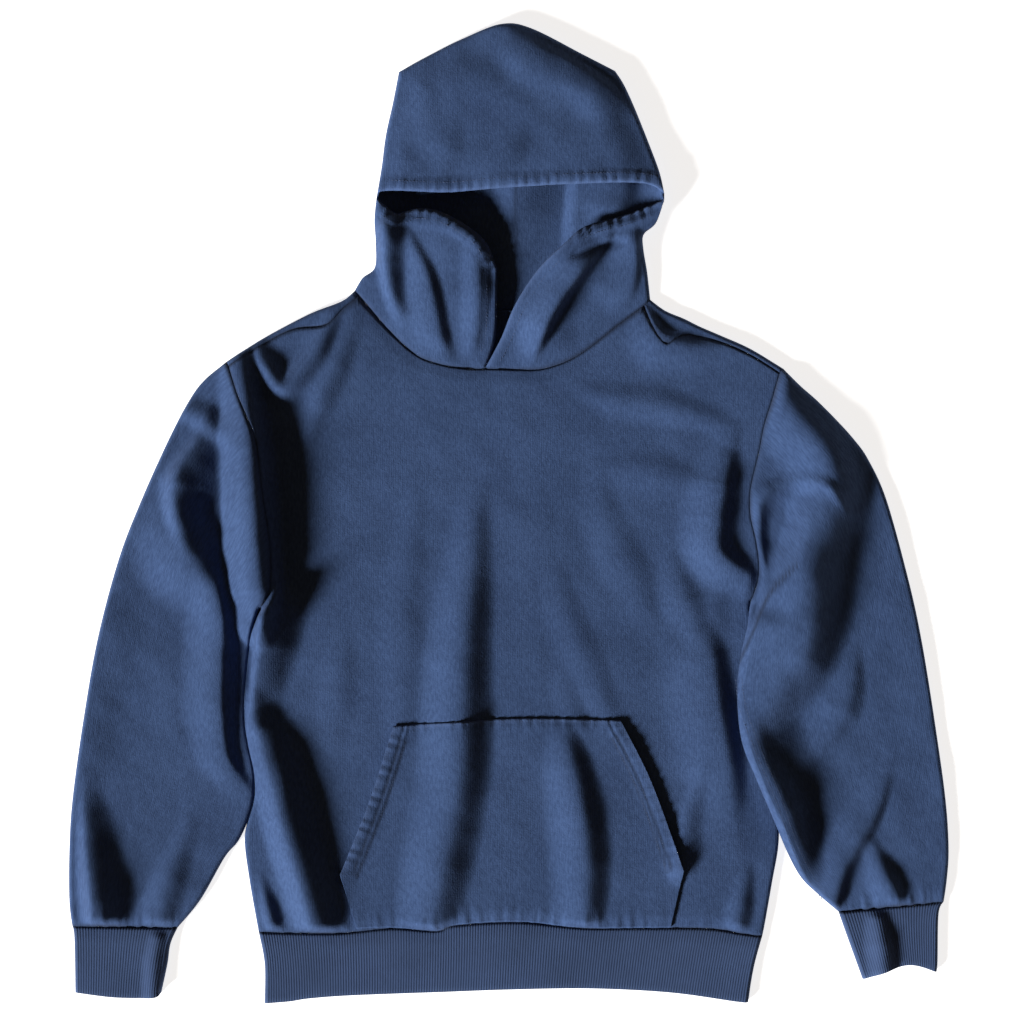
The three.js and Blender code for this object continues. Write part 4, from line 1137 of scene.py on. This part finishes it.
@dataclass(frozen=True)
class KnitCloth:
    """A dyed and washed cotton knit.

    The face is matt with a short nap: broad soft gloss only at grazing angles, a fine vertical wale that
    is drawn at twice its width so that it shows, patches of uneven dye, paler cloth on worn edges, and
    painted shade: a near-black colour mixed in along seams and creases, where the real cloth is shaded.
    """

    name: str
    shade: str
    light: str
    worn: str
    # Near-black colour of the painted shade beside seams and creases
    seam: str
    wale: float
    wale_depth: float
    nap: float
    nap_depth: float
    heather: float
    patch: float = 70.0
    # How far the painted seam shade darkens the colour
    seam_shade_strength: float = 0.6
    roughness: float = 0.95
    gloss: float = 0.2
    lean: float = 0.35
    fibre_stretch: float = 0.35
    sheen: float = 0.05
    sheen_roughness: float = 0.6
    sheen_tint: str = "#9fb0d8"

    def make(self) -> bpy.types.Material:
        """Builds the material."""
        material = bpy.data.materials.new(self.name)
        material.use_nodes = True
        tree = material.node_tree
        tree.nodes.clear()
        grain = add_node(tree, "ShaderNodeAttribute", {"attribute_name": GRAIN}).outputs["Vector"]
        wear_and_seam_shade = add_node(tree, "ShaderNodeSeparateXYZ", Vector=grain).outputs["Z"]
        flat = add_node(
            tree, "ShaderNodeVectorMath", {"operation": "MULTIPLY"}, _0=grain, _1=(1.0, 1.0, 0.0)
        ).outputs[0]
        patches = add_node(
            tree, "ShaderNodeTexNoise", Vector=flat, Scale=1 / (self.patch * MM), Detail=3.0, Roughness=0.6
        ).outputs["Fac"]
        slub = add_node(
            tree, "ShaderNodeMapping", Vector=flat, Rotation=(0.0, 0.0, self.lean),
            Scale=(1 / (self.wale * MM), self.fibre_stretch / (self.wale * MM), 1.0),
        ).outputs[0]
        fibres = add_node(
            tree, "ShaderNodeTexNoise", Vector=slub, Scale=1.0, Detail=2.0, Roughness=0.55
        ).outputs["Fac"]
        wales = add_node(
            tree, "ShaderNodeTexWave", {"wave_type": "BANDS", "bands_direction": "X"},
            Vector=flat, Scale=WAVE_TURN / (self.wale * MM), Distortion=1.6, Detail=2.0, Detail_Scale=1.2,
        ).outputs["Fac"]
        naps = add_node(
            tree, "ShaderNodeTexNoise", Vector=flat, Scale=1 / (self.nap * MM), Detail=3.0, Roughness=0.65
        ).outputs["Fac"]
        spots = add_node(
            tree, "ShaderNodeMath", {"operation": "MULTIPLY_ADD"},
            _0=fibres, _1=self.heather, _2=-self.heather / 2,
        )
        mixed = add_node(tree, "ShaderNodeMath", {"operation": "ADD"}, _0=patches, _1=spots.outputs[0])
        ramp = add_node(tree, "ShaderNodeMapRange", Value=mixed.outputs[0], From_Min=0.2, From_Max=0.8)
        dye = add_node(
            tree, "ShaderNodeMix", {"data_type": "RGBA"}, Factor=ramp.outputs[0],
            _6=linear(self.shade), _7=linear(self.light),
        ).outputs[2]
        rubbed = add_node(tree, "ShaderNodeMath", {"operation": "MULTIPLY"}, _0=wear_and_seam_shade, _1=naps).outputs[0]
        rubbed = add_node(tree, "ShaderNodeClamp", Value=rubbed).outputs[0]
        washed = add_node(
            tree, "ShaderNodeMix", {"data_type": "RGBA"}, Factor=rubbed, _6=dye, _7=linear(self.worn)
        ).outputs[2]
        # Painted shade: beside seams and creases the colour is mixed towards the near-black seam colour
        seam_shade = add_node(tree, "ShaderNodeMath", {"operation": "MULTIPLY"}, _0=wear_and_seam_shade, _1=-self.seam_shade_strength)
        seam_shade = add_node(tree, "ShaderNodeClamp", Value=seam_shade.outputs[0]).outputs[0]
        colour = add_node(
            tree, "ShaderNodeMix", {"data_type": "RGBA"}, Factor=seam_shade, _6=washed, _7=linear(self.seam)
        ).outputs[2]
        nap_bump = add_node(
            tree, "ShaderNodeBump", Height=naps, Strength=1.0, Distance=self.nap_depth * MM
        ).outputs[0]
        bump = add_node(
            tree, "ShaderNodeBump", Height=wales, Strength=1.0, Distance=self.wale_depth * MM, Normal=nap_bump
        ).outputs[0]
        shader = add_node(
            tree, "ShaderNodeBsdfPrincipled", Base_Color=colour, Normal=bump, Roughness=self.roughness
        )
        shader.inputs["Specular IOR Level"].default_value = self.gloss
        shader.inputs["Sheen Weight"].default_value = self.sheen
        shader.inputs["Sheen Roughness"].default_value = self.sheen_roughness
        shader.inputs["Sheen Tint"].default_value = linear(self.sheen_tint)
        add_node(tree, "ShaderNodeOutputMaterial", Surface=shader.outputs[0])
        return material


@dataclass(frozen=True)
class Thread:
    """Spun polyester thread, twisted and dyed to match: a little smoother and paler than the cloth."""

    name: str
    colour: str
    dark: str
    twist: float = 2 / 3
    twist_depth: float = 0.1
    roughness: float = 0.7

    def make(self) -> bpy.types.Material:
        """Builds the material."""
        material = bpy.data.materials.new(self.name)
        material.use_nodes = True
        tree = material.node_tree
        tree.nodes.clear()
        place = add_node(tree, "ShaderNodeTexCoord").outputs["Object"]
        twist = add_node(
            tree, "ShaderNodeTexNoise", Vector=place, Scale=1 / (self.twist * MM), Detail=1.0
        ).outputs["Fac"]
        colour = add_node(
            tree, "ShaderNodeMix", {"data_type": "RGBA"}, Factor=twist,
            _6=linear(self.dark), _7=linear(self.colour),
        ).outputs[2]
        bump = add_node(
            tree, "ShaderNodeBump", Height=twist, Strength=0.6, Distance=self.twist_depth * MM
        ).outputs[0]
        shader = add_node(
            tree, "ShaderNodeBsdfPrincipled", Base_Color=colour, Normal=bump, Roughness=self.roughness
        )
        add_node(tree, "ShaderNodeOutputMaterial", Surface=shader.outputs[0])
        return material


ARMPIT_SHARE = 0.58
WRAP_SHARE = 0.985
NECK_SHARES = (0.27, 0.5, 0.73)
LEFT_SEAM_SHARE = LEFT_ARMHOLE.share_near(LEFT_SHOULDER_SEAM)
RIGHT_SEAM_SHARE = RIGHT_ARMHOLE.share_near(RIGHT_SHOULDER_SEAM)
LEFT_NECK_SHARE = LEFT_NECK.share_near(LEFT_NECK_SEAM)
RIGHT_NECK_SHARE = RIGHT_NECK.share_near(RIGHT_NECK_SEAM)


def beside_body(shares: np.ndarray) -> np.ndarray:
    """Which rows of a body panel end at the side line, under the armpit."""
    return shares < ARMPIT_SHARE + 1e-6


@dataclass
class BodyPanels:
    """The front, and the back that wraps over the shoulder line to meet it."""

    cloth: bpy.types.Material
    step: float = CLOTH_STEP
    back_step: float = HIDDEN_STEP
    half_neck: float = 140.0
    back_neck: float = 300.0
    front_cut: Place = (0.56, 0.66)
    front_area: float = 0.31
    back_cut: Place = (0.56, 0.68)
    back_area: float = 0.32
    wrap_rows: tuple[float, ...] = (0, 0.15, 0.3, 0.45, 0.6, 0.72, 0.82, 0.9, 0.96, 1.0)

    def build_front(self) -> bpy.types.Object:
        """Builds the front panel."""
        breaks = (0.0, ARMPIT_SHARE, 1.0)
        columns = [
            stations(LEFT_SHOULDER.length, self.step, start=True), stations(self.half_neck, self.step),
            stations(self.half_neck, self.step), stations(RIGHT_SHOULDER.length, self.step, end=True),
        ]
        neck_breaks = (0.0, *NECK_SHARES, 1.0)
        neck = portion(LEFT_NECK, LEFT_NECK_SHARE, 1), portion(RIGHT_NECK, 0, RIGHT_NECK_SHARE)
        skin = Skin()
        skin.add(Layer(
            lower=HEM_SEAM,
            upper=joined([LEFT_SHOULDER, *neck, RIGHT_SHOULDER], neck_breaks),
            left=joined([LEFT_SIDE, portion(LEFT_ARMHOLE, 0, LEFT_SEAM_SHARE)], breaks),
            right=joined([RIGHT_SIDE, portion(RIGHT_ARMHOLE, 0, RIGHT_SEAM_SHARE)], breaks),
            us=stretches(columns, neck_breaks),
            vs=stretches(
                [stations(LEFT_SIDE.length, self.step), stations(LEFT_ARMHOLE.length, self.step)], breaks
            ),
            height=partial(top_height, FRONT),
            rim=partial(fold_line, FRONT),
            sides=beside_body,
            seams=(HEM_SEAM, LEFT_ARMHOLE, RIGHT_ARMHOLE, *SHOULDER_SEAMS, *NECK_SEAMS),
        ))
        return skin.close("front_panel", FLEECE)

    def build_back(self) -> bpy.types.Object:
        """Builds the back panel and its two shoulder wraps."""
        neck_breaks = (0.0, NECK_SHARES[0], NECK_SHARES[-1], 1.0)
        breaks = (0.0, ARMPIT_SHARE, WRAP_SHARE, 1.0)
        shoulder = stations(LEFT_SHOULDER.length, self.back_step, start=True)
        skin = Skin()

        def side(line: Line, armhole: Line, share: float) -> Border:
            """The back's edge from the hem over the armhole to the shoulder fold."""
            return joined([line, portion(armhole, 0, share), portion(armhole, share, 1)], breaks)

        skin.add(Layer(
            lower=HEM_SEAM,
            upper=joined([LEFT_SHOULDER_TOP, BACK_NECK, RIGHT_SHOULDER_TOP], neck_breaks),
            left=side(LEFT_SIDE, LEFT_ARMHOLE, LEFT_SEAM_SHARE),
            right=side(RIGHT_SIDE, RIGHT_ARMHOLE, RIGHT_SEAM_SHARE),
            us=stretches(
                [shoulder, stations(self.back_neck, self.back_step), mirrored(shoulder)], neck_breaks
            ),
            vs=stretches([
                stations(LEFT_SIDE.length, self.back_step), stations(LEFT_ARMHOLE.length, self.back_step),
                np.linspace(0, 1, 3)], breaks),
            height=partial(under_height, FRONT),
            rim=partial(fold_line, FRONT),
            rims=(Edge.UPPER,), sides=beside_body, under=True,
        ))
        for seam, top, left, right, us in (
            (LEFT_SHOULDER, LEFT_SHOULDER_TOP, portion(LEFT_ARMHOLE, LEFT_SEAM_SHARE, 1),
             portion(LEFT_NECK, LEFT_NECK_SHARE, 0), shoulder),
            (RIGHT_SHOULDER, RIGHT_SHOULDER_TOP, portion(RIGHT_NECK, RIGHT_NECK_SHARE, 1),
             portion(RIGHT_ARMHOLE, RIGHT_SEAM_SHARE, 1), mirrored(shoulder)),
        ):
            skin.add(Layer(
                lower=seam, upper=top, left=left, right=right, us=us,
                vs=np.array(self.wrap_rows),
                height=partial(top_height, FRONT),
                rim=partial(fold_line, FRONT), rims=(Edge.UPPER,), seams=SHOULDER_SEAMS,
            ))
        return skin.close("back_panel", FLEECE)

    def dress(self) -> None:
        """Builds both panels and gives them their cloth."""
        front, back = self.build_front(), self.build_back()
        dress(front, self.cloth, FRONT)
        dress(back, self.cloth, BACK)


@dataclass
class Sleeve:
    """A sleeve as it lies: a flattened tube from the armhole to the cuff seam."""

    name: str
    armhole: Line
    cuff_seam: Line
    outer: Line
    inner: Line
    cloth: bpy.types.Material
    step: float = CLOTH_STEP
    under_step: float = HIDDEN_STEP
    # Lines darkened in the colour as painted shade, like the seams
    creases: tuple[Line, ...] = ()
    grain_width: float = 200.0
    under_shift: float = 700.0
    flat: Place = (0.48, 0.60)
    area: float = 0.165

    def build(self) -> bpy.types.Object:
        """Builds the tube."""
        length = self.inner.length
        rows = stations(length, self.step)
        skin = Skin()
        for under, step in ((False, self.step), (True, self.under_step)):
            skin.add(Layer(
                lower=turned(self.armhole), upper=self.cuff_seam, left=self.outer, right=self.inner,
                us=stations(self.armhole.length, step, start=True, end=True), vs=rows,
                height=partial(under_height if under else top_height, self.name),
                rim=partial(fold_line, self.name), rims=(Edge.START, Edge.END), under=under,
                grain_size=(self.grain_width, length), shift=self.under_shift if under else 0.0,
                seams=(self.armhole, self.cuff_seam, *self.creases),
            ))
        return skin.close(f"{self.name}_cloth", FLEECE)

    def dress(self) -> None:
        """Builds the sleeve and gives it its cloth."""
        piece = self.build()
        dress(piece, self.cloth, self.name)


@dataclass
class RibTube:
    """A ring of rib knit, folded double and lying flat: a cuff or the hem band."""

    name: str
    seam: Line
    edge: Line
    outer: Border
    inner: Border
    width: float
    knit: bpy.types.Material
    flat: Place
    rows: int = 22
    depth: float = 70.0
    pitch: float = RIB_PITCH
    plain_edge: float = 5.0
    under_step: float = 8.0

    @property
    def ribs(self) -> int:
        """How many ribs the ring has on the side that shows."""
        return round(self.width / self.pitch)

    def ribbed(self, us: np.ndarray, vs: np.ndarray) -> np.ndarray:
        """Height that the ribs add, flat beside both folded edges."""
        edge = smooth(np.minimum(us, 1 - us) * self.width / self.plain_edge)
        wave = RIB_RAISE * (0.5 - 0.5 * np.cos(2 * math.pi * self.ribs * us)) * edge
        return wave[:, None] * np.ones(len(vs))[None, :]

    def build(self) -> bpy.types.Object:
        """Builds the tube."""
        rows = stations(self.depth, self.depth / self.rows, end=True)
        plain = stations(self.width, self.under_step, start=True, end=True)
        fine = np.linspace(0, 1, self.ribs * RIB_COLUMNS + 1)
        skin = Skin()
        for under, us in ((False, fine), (True, plain)):
            skin.add(Layer(
                lower=self.seam, upper=self.edge, left=self.outer, right=self.inner, us=us, vs=rows,
                height=partial(under_height if under else top_height, self.name),
                raised=None if under else self.ribbed,
                rim=partial(fold_line, self.name), rims=(Edge.START, Edge.END), under=under,
                worn=(self.edge,), seams=(self.seam,),
            ))
        return skin.close(f"{self.name}_knit", RIB_KNIT)

    def dress(self) -> None:
        """Builds the ring and gives it its knit."""
        piece = self.build()
        dress(piece, self.knit, self.name)


@dataclass
class Hood:
    """The hood: an under layer on the table, and two flaps and the crown round the face opening."""

    cloth: bpy.types.Material
    step: float = CLOTH_STEP
    roll: float = 2.0
    drop: float = 1.2
    hem: float = 10.0
    hem_rise: float = 1.3
    hem_foot: float = 3.0
    gathers: float = 1.6
    gather_reach: float = 18.0
    gather_pitch: float = 11.0
    crown_width: float = 270.0
    corner_share: float = 0.47
    crown_share: float = 0.5
    flat: Place = (0.62, 0.36)
    area: float = 0.15

    def top(self, spots: np.ndarray) -> np.ndarray:
        """Height of the outer layer, with its face edge turned in and stitched."""
        gathered = (LEFT_LIP, RIGHT_LIP, FOREHEAD_EDGE)
        off = off_from([line.run() for line in (*gathered, LEFT_FLAP_EDGE, RIGHT_FLAP_EDGE)], spots)
        raised = self.hem_rise * (1 - smooth((off - self.hem) / self.hem_foot))
        for line in gathered:
            raised = raised + self.gathers * pucker(line, spots, self.gather_reach, self.gather_pitch)
        return top_height(HOOD, spots) - self.drop * (1 - round_off(off, self.roll)) + raised

    def build(self) -> bpy.types.Object:
        """Builds the four layers as one piece."""
        flap_rows = stations(LEFT_HOOD_SIDE.length, self.step)
        crown_rows = stations(LEFT_CROWN_SIDE.length, self.step, end=True)
        crown_columns = stations(self.crown_width, self.step, start=True, end=True)
        left_columns = stations(LEFT_NECK.length, self.step, start=True)
        worn = (LEFT_LIP, RIGHT_FLAP_EDGE, RIGHT_LIP, FOREHEAD_EDGE)
        rim = partial(fold_line, HOOD)
        crown_rims = (Edge.START, Edge.END, Edge.UPPER)
        breaks = (0.0, self.corner_share, self.crown_share, 1.0)

        def side(low: Line, high: Line) -> Border:
            """The under layer's edge: both lines, and the short way over the face opening's corner."""
            start, end = low(np.array([1.0]))[0], high(np.array([0.0]))[0]
            corner = lambda share: start + (end - start) * np.asarray(share)[..., None]
            return joined([low, corner, high], breaks)

        skin = Skin()
        skin.add(Layer(
            lower=LEFT_NECK, upper=LEFT_LIP, left=LEFT_HOOD_SIDE, right=LEFT_FLAP_EDGE,
            us=left_columns, vs=flap_rows, height=self.top, rim=rim, rims=(Edge.START,), worn=worn,
            seams=NECK_SEAMS,
        ))
        skin.add(Layer(
            lower=RIGHT_NECK, upper=RIGHT_LIP, left=RIGHT_FLAP_EDGE, right=RIGHT_HOOD_SIDE,
            us=mirrored(left_columns), vs=flap_rows, height=self.top, rim=rim, rims=(Edge.END,), worn=worn,
            seams=NECK_SEAMS,
        ))
        skin.add(Layer(
            lower=FOREHEAD_EDGE, upper=CROWN_EDGE, left=LEFT_CROWN_SIDE, right=RIGHT_CROWN_SIDE,
            us=crown_columns, vs=crown_rows, height=self.top, rim=rim, rims=crown_rims, worn=worn,
        ))
        skin.add(Layer(
            lower=BACK_NECK, upper=CROWN_EDGE,
            left=side(LEFT_HOOD_SIDE, LEFT_CROWN_SIDE), right=side(RIGHT_HOOD_SIDE, RIGHT_CROWN_SIDE),
            us=crown_columns, vs=stretches([flap_rows, np.linspace(0, 1, 3), crown_rows], breaks),
            height=partial(under_height, HOOD), rim=rim, rims=crown_rims, under=True,
            seams=(HOOD_BACK_SEAM,),
        ))
        return skin.close("hood_cloth", FLEECE)

    def dress(self) -> None:
        """Builds the hood and gives it its cloth."""
        piece = self.build()
        dress(piece, self.cloth, HOOD)


@dataclass
class KangarooPocket:
    """The pocket on the front, with turned hems at its slanted openings."""

    cloth: bpy.types.Material
    step: float = POCKET_STEP
    rise: float = 2.7
    hem: float = 16.0
    hem_rise: float = 0.9
    hem_foot: float = 2.5
    gape: float = 2.2
    gape_reach: float = 22.0
    sewn_reach: float = 30.0
    groove: Place = (0.9, 1.6)
    top_row: float = 3.5
    top_groove: Place = (0.5, 1.5)
    top_sink: float = 2.1
    top_roll: float = 3.0
    width: float = 300.0
    short_side: float = 56.0
    slant: float = 160.0
    gathers: tuple[tuple[float, Line, float, float], ...] = (
        (0.5, POCKET_TOP, 16, 13), (0.65, POCKET_LEFT, 20, 11), (0.65, POCKET_RIGHT, 20, 12),
        (0.8, POCKET_FOOT, 26, 15),
    )
    flat: Place = (0.35, 0.22)
    area: float = 0.064

    def height(self, spots: np.ndarray) -> np.ndarray:
        """Height of the pocket's face over the front."""
        off = off_from([POCKET_LEFT.run(), POCKET_RIGHT.run()], spots)
        top = nearest_on(POCKET_TOP.run(), spots).off
        foot = nearest_on(POCKET_FOOT.run(), spots).off
        above = self.rise + self.hem_rise * (1 - smooth((off - self.hem) / self.hem_foot))
        above = above + self.gape * (1 - smooth(off / self.gape_reach)) * smooth(
            np.minimum(top, foot) / self.sewn_reach
        )
        rows = [(off, row, *self.groove) for row in POCKET_ROWS] + [(top, self.top_row, *self.top_groove)]
        for away, row, depth, width in rows:
            above = above - depth * np.exp(-(((away - row) / width) ** 2))
        above = above - self.top_sink * (1 - round_off(top, self.top_roll))
        gathers = sum(high * pucker(line, spots, reach, pitch) for high, line, reach, pitch in self.gathers)
        return top_height(FRONT, spots) + above + gathers

    def build(self) -> bpy.types.Object:
        """Builds the pocket's sheet."""
        breaks = (0.0, POCKET_TURN_SHARE, 1.0)
        skin = Skin()
        skin.add(Layer(
            lower=POCKET_FOOT, upper=POCKET_TOP,
            left=joined([Line(POCKET_LEFT_FOOT, POCKET_LEFT_TURN), POCKET_LEFT], breaks),
            right=joined([Line(POCKET_RIGHT_FOOT, POCKET_RIGHT_TURN), POCKET_RIGHT], breaks),
            us=stations(self.width, self.step, start=True, end=True),
            vs=stretches(
                [stations(self.short_side, self.step), stations(self.slant, self.step, end=True)], breaks
            ),
            height=self.height, worn=(POCKET_TOP, POCKET_LEFT, POCKET_RIGHT), seams=POCKET_HEM_SEAMS,
        ))
        return skin.close("kangaroo_pocket", FLEECE)

    def dress(self) -> None:
        """Builds the pocket and gives it its cloth."""
        piece = self.build()
        dress(piece, self.cloth, "pocket")


@dataclass
class Stitching:
    """Rows of topstitching: short dashes of thread that sink into the cloth at both ends."""

    name: str
    thread: bpy.types.Material
    rows: tuple[tuple[Line, float], ...]
    height: Callable[[np.ndarray], np.ndarray]
    pitch: float = 3.4
    dash: Place = (2.9, 0.85)
    sink: float = 0.28
    margin: float = 4.0

    def dashes(self, line: Line, off: float) -> Iterable[tuple[Vector, Vector]]:
        """Both ends of each dash of one row.

        Args:
            line: The edge or seam that the row runs beside.
            off: Distance from it, mm; above zero is to its left.
        """
        count = int((line.length - 2 * self.margin) / self.pitch)
        half = self.dash[0] / 2
        for k in range(count):
            at = self.margin + (k + 0.5) * self.pitch
            ends = line(np.array([at - half, at + half]) / line.length)
            way = (ends[1] - ends[0]) / np.hypot(*(ends[1] - ends[0]))
            ends = ends + off * np.array([-way[1], way[0]])
            z = self.height(ends) - self.sink
            yield tuple(Vector((*end, high)) for end, high in zip(ends, z))

    def build(self) -> bpy.types.Object:
        """Builds all rows as one piece."""
        bm = bmesh.new()
        for line, off in self.rows:
            for start, end in self.dashes(line, off):
                way = end - start
                turn = way.to_track_quat("X", "Z").to_matrix().to_4x4()
                size = Matrix.Diagonal((way.length, self.dash[1], self.dash[1], 1.0))
                place = Matrix.Translation((start + end) / 2 * MM) @ turn @ (Matrix.Scale(MM, 4) @ size)
                bmesh.ops.create_uvsphere(bm, u_segments=6, v_segments=6, radius=0.5, matrix=place)
        return placed(self.name, bm)

    def dress(self) -> None:
        """Builds the rows and gives them their thread."""
        dress(self.build(), self.thread)


@dataclass
class Studio:
    """Pale floor, one low soft light from the lower left, weak fill, and the camera straight above."""

    floor_colour: str = "#f2f2f0"
    floor_size: float = 8.0
    light_turn: float = 218.0
    light_rise: float = 22.5
    light_spread: float = 14.0
    fill: float = 0.085
    fill_colour: tuple[float, float, float, float] = (1.0, 0.68, 0.44, 1.0)
    floor_glow: float = 0.8
    floor_drop: float = 0.4
    brightness: float = 1.0
    camera_height: float = 2.75
    view_width: float = 1.024
    centre: Place = (0.003, 0.001)
    sensor: float = 36.0

    def build(self) -> None:
        """Builds the stage."""
        bm = bmesh.new()
        bmesh.ops.create_grid(bm, x_segments=2, y_segments=2, size=self.floor_size / 2)
        bmesh.ops.translate(bm, verts=bm.verts, vec=(0, 0, -self.floor_drop * MM))
        floor = placed("floor", bm)
        material = bpy.data.materials.new("matt_paper_backdrop")
        material.use_nodes = True
        shader = material.node_tree.nodes["Principled BSDF"]
        shader.inputs["Base Color"].default_value = linear(self.floor_colour)
        shader.inputs["Roughness"].default_value = 0.95
        shader.inputs["Specular IOR Level"].default_value = 0.1
        shader.inputs["Emission Color"].default_value = (1, 1, 1, 1)
        shader.inputs["Emission Strength"].default_value = self.floor_glow
        floor.data.materials.append(material)
        floor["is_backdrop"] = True
        rise, turn = math.radians(self.light_rise), math.radians(self.light_turn)
        towards = Vector((math.cos(turn) * math.cos(rise), math.sin(turn) * math.cos(rise), math.sin(rise)))
        lamp = bpy.data.lights.new("window", "SUN")
        lamp.energy = self.brightness * (1 - self.fill) * math.pi / math.sin(rise)
        lamp.angle = math.radians(self.light_spread)
        light = bpy.data.objects.new("window", lamp)
        light.rotation_euler = towards.to_track_quat("Z", "Y").to_euler()
        bpy.context.scene.collection.objects.link(light)
        world = bpy.data.worlds.new("studio")
        world.use_nodes = True
        world.node_tree.nodes["Background"].inputs["Color"].default_value = self.fill_colour
        world.node_tree.nodes["Background"].inputs["Strength"].default_value = self.brightness * self.fill
        bpy.context.scene.world = world
        bpy.context.scene.view_settings.view_transform = "Standard"
        view = bpy.data.cameras.new("camera")
        view.sensor_width = self.sensor
        view.lens = self.sensor * self.camera_height / self.view_width
        camera = bpy.data.objects.new("camera", view)
        camera.location = (*self.centre, self.camera_height)
        bpy.context.scene.collection.objects.link(camera)
        bpy.context.scene.camera = camera


def main() -> None:
    """Builds the hoodie piece by piece."""
    logging.basicConfig(level=logging.INFO, format="%(name)s %(message)s")
    # The seam colours below are near-black painted shade for seams and creases
    fleece = KnitCloth(
        "washed_cotton_fleece", shade="#2e4164", light="#394e74", worn="#4a5f88", seam="#0c1018",
        wale=2.2, wale_depth=0.05, nap=1.8, nap_depth=0.4, heather=1.9,
    ).make()
    rib = KnitCloth(
        "cotton_rib_knit", shade="#31415f", light="#3b4d70", worn="#4a5d82", seam="#0c1018",
        wale=2.7, wale_depth=0.03, nap=1.4, nap_depth=0.2, heather=0.5,
    ).make()
    Studio().build()
    BodyPanels(fleece).dress()
    pocket = KangarooPocket(fleece)
    pocket.dress()
    Sleeve(SLEEVE_L, LEFT_ARMHOLE, LEFT_CUFF_SEAM, LEFT_SLEEVE_OUTER, LEFT_SLEEVE_UNDER, fleece).dress()
    Sleeve(
        SLEEVE_R, RIGHT_ARMHOLE, RIGHT_CUFF_SEAM, RIGHT_SLEEVE_OUTER, RIGHT_SLEEVE_UNDER, fleece,
        creases=(RIGHT_LAP,),
    ).dress()
    RibTube(
        CUFF_L, LEFT_CUFF_SEAM, LEFT_CUFF_EDGE, LEFT_CUFF_OUTER, LEFT_CUFF_INNER, CUFF_WIDTH, rib,
        flat=(0.20, 0.068),
    ).dress()
    RibTube(
        CUFF_R, RIGHT_CUFF_SEAM, RIGHT_CUFF_EDGE, RIGHT_CUFF_OUTER, RIGHT_CUFF_INNER, CUFF_WIDTH, rib,
        flat=(0.19, 0.068),
    ).dress()
    RibTube(
        BAND, HEM_SEAM, HEM_EDGE, turned(LEFT_BAND_SIDE), turned(RIGHT_BAND_SIDE), HEM_SEAM.length, rib,
        flat=(1.0, 0.07),
    ).dress()
    hood = Hood(fleece)
    hood.dress()
    thread = Thread("spun_polyester_thread", colour="#364a70", dark="#24334f").make()
    Stitching("pocket_stitches", thread, (
        *POCKET_HEM_ROWS, (POCKET_TOP, -pocket.top_row)), pocket.height).dress()
    Stitching("hood_stitches", thread, (
        (LEFT_LIP, -hood.hem), (RIGHT_LIP, -hood.hem), (FOREHEAD_EDGE, hood.hem),
        (LEFT_FLAP_EDGE, hood.hem), (RIGHT_FLAP_EDGE, -hood.hem)), hood.top, sink=0.38, margin=14.0).dress()
    Stitching(
        "underarm_stitches", thread, tuple((UNDERARM_SEAM, off) for off in UNDERARM_ROWS),
        partial(top_height, SLEEVE_R),
    ).dress()
    boxes = {"cad": [list(corner) for corner in CAD_BOX], "visual": [list(corner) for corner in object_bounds()]}


if __name__ == "__main__":
    main()
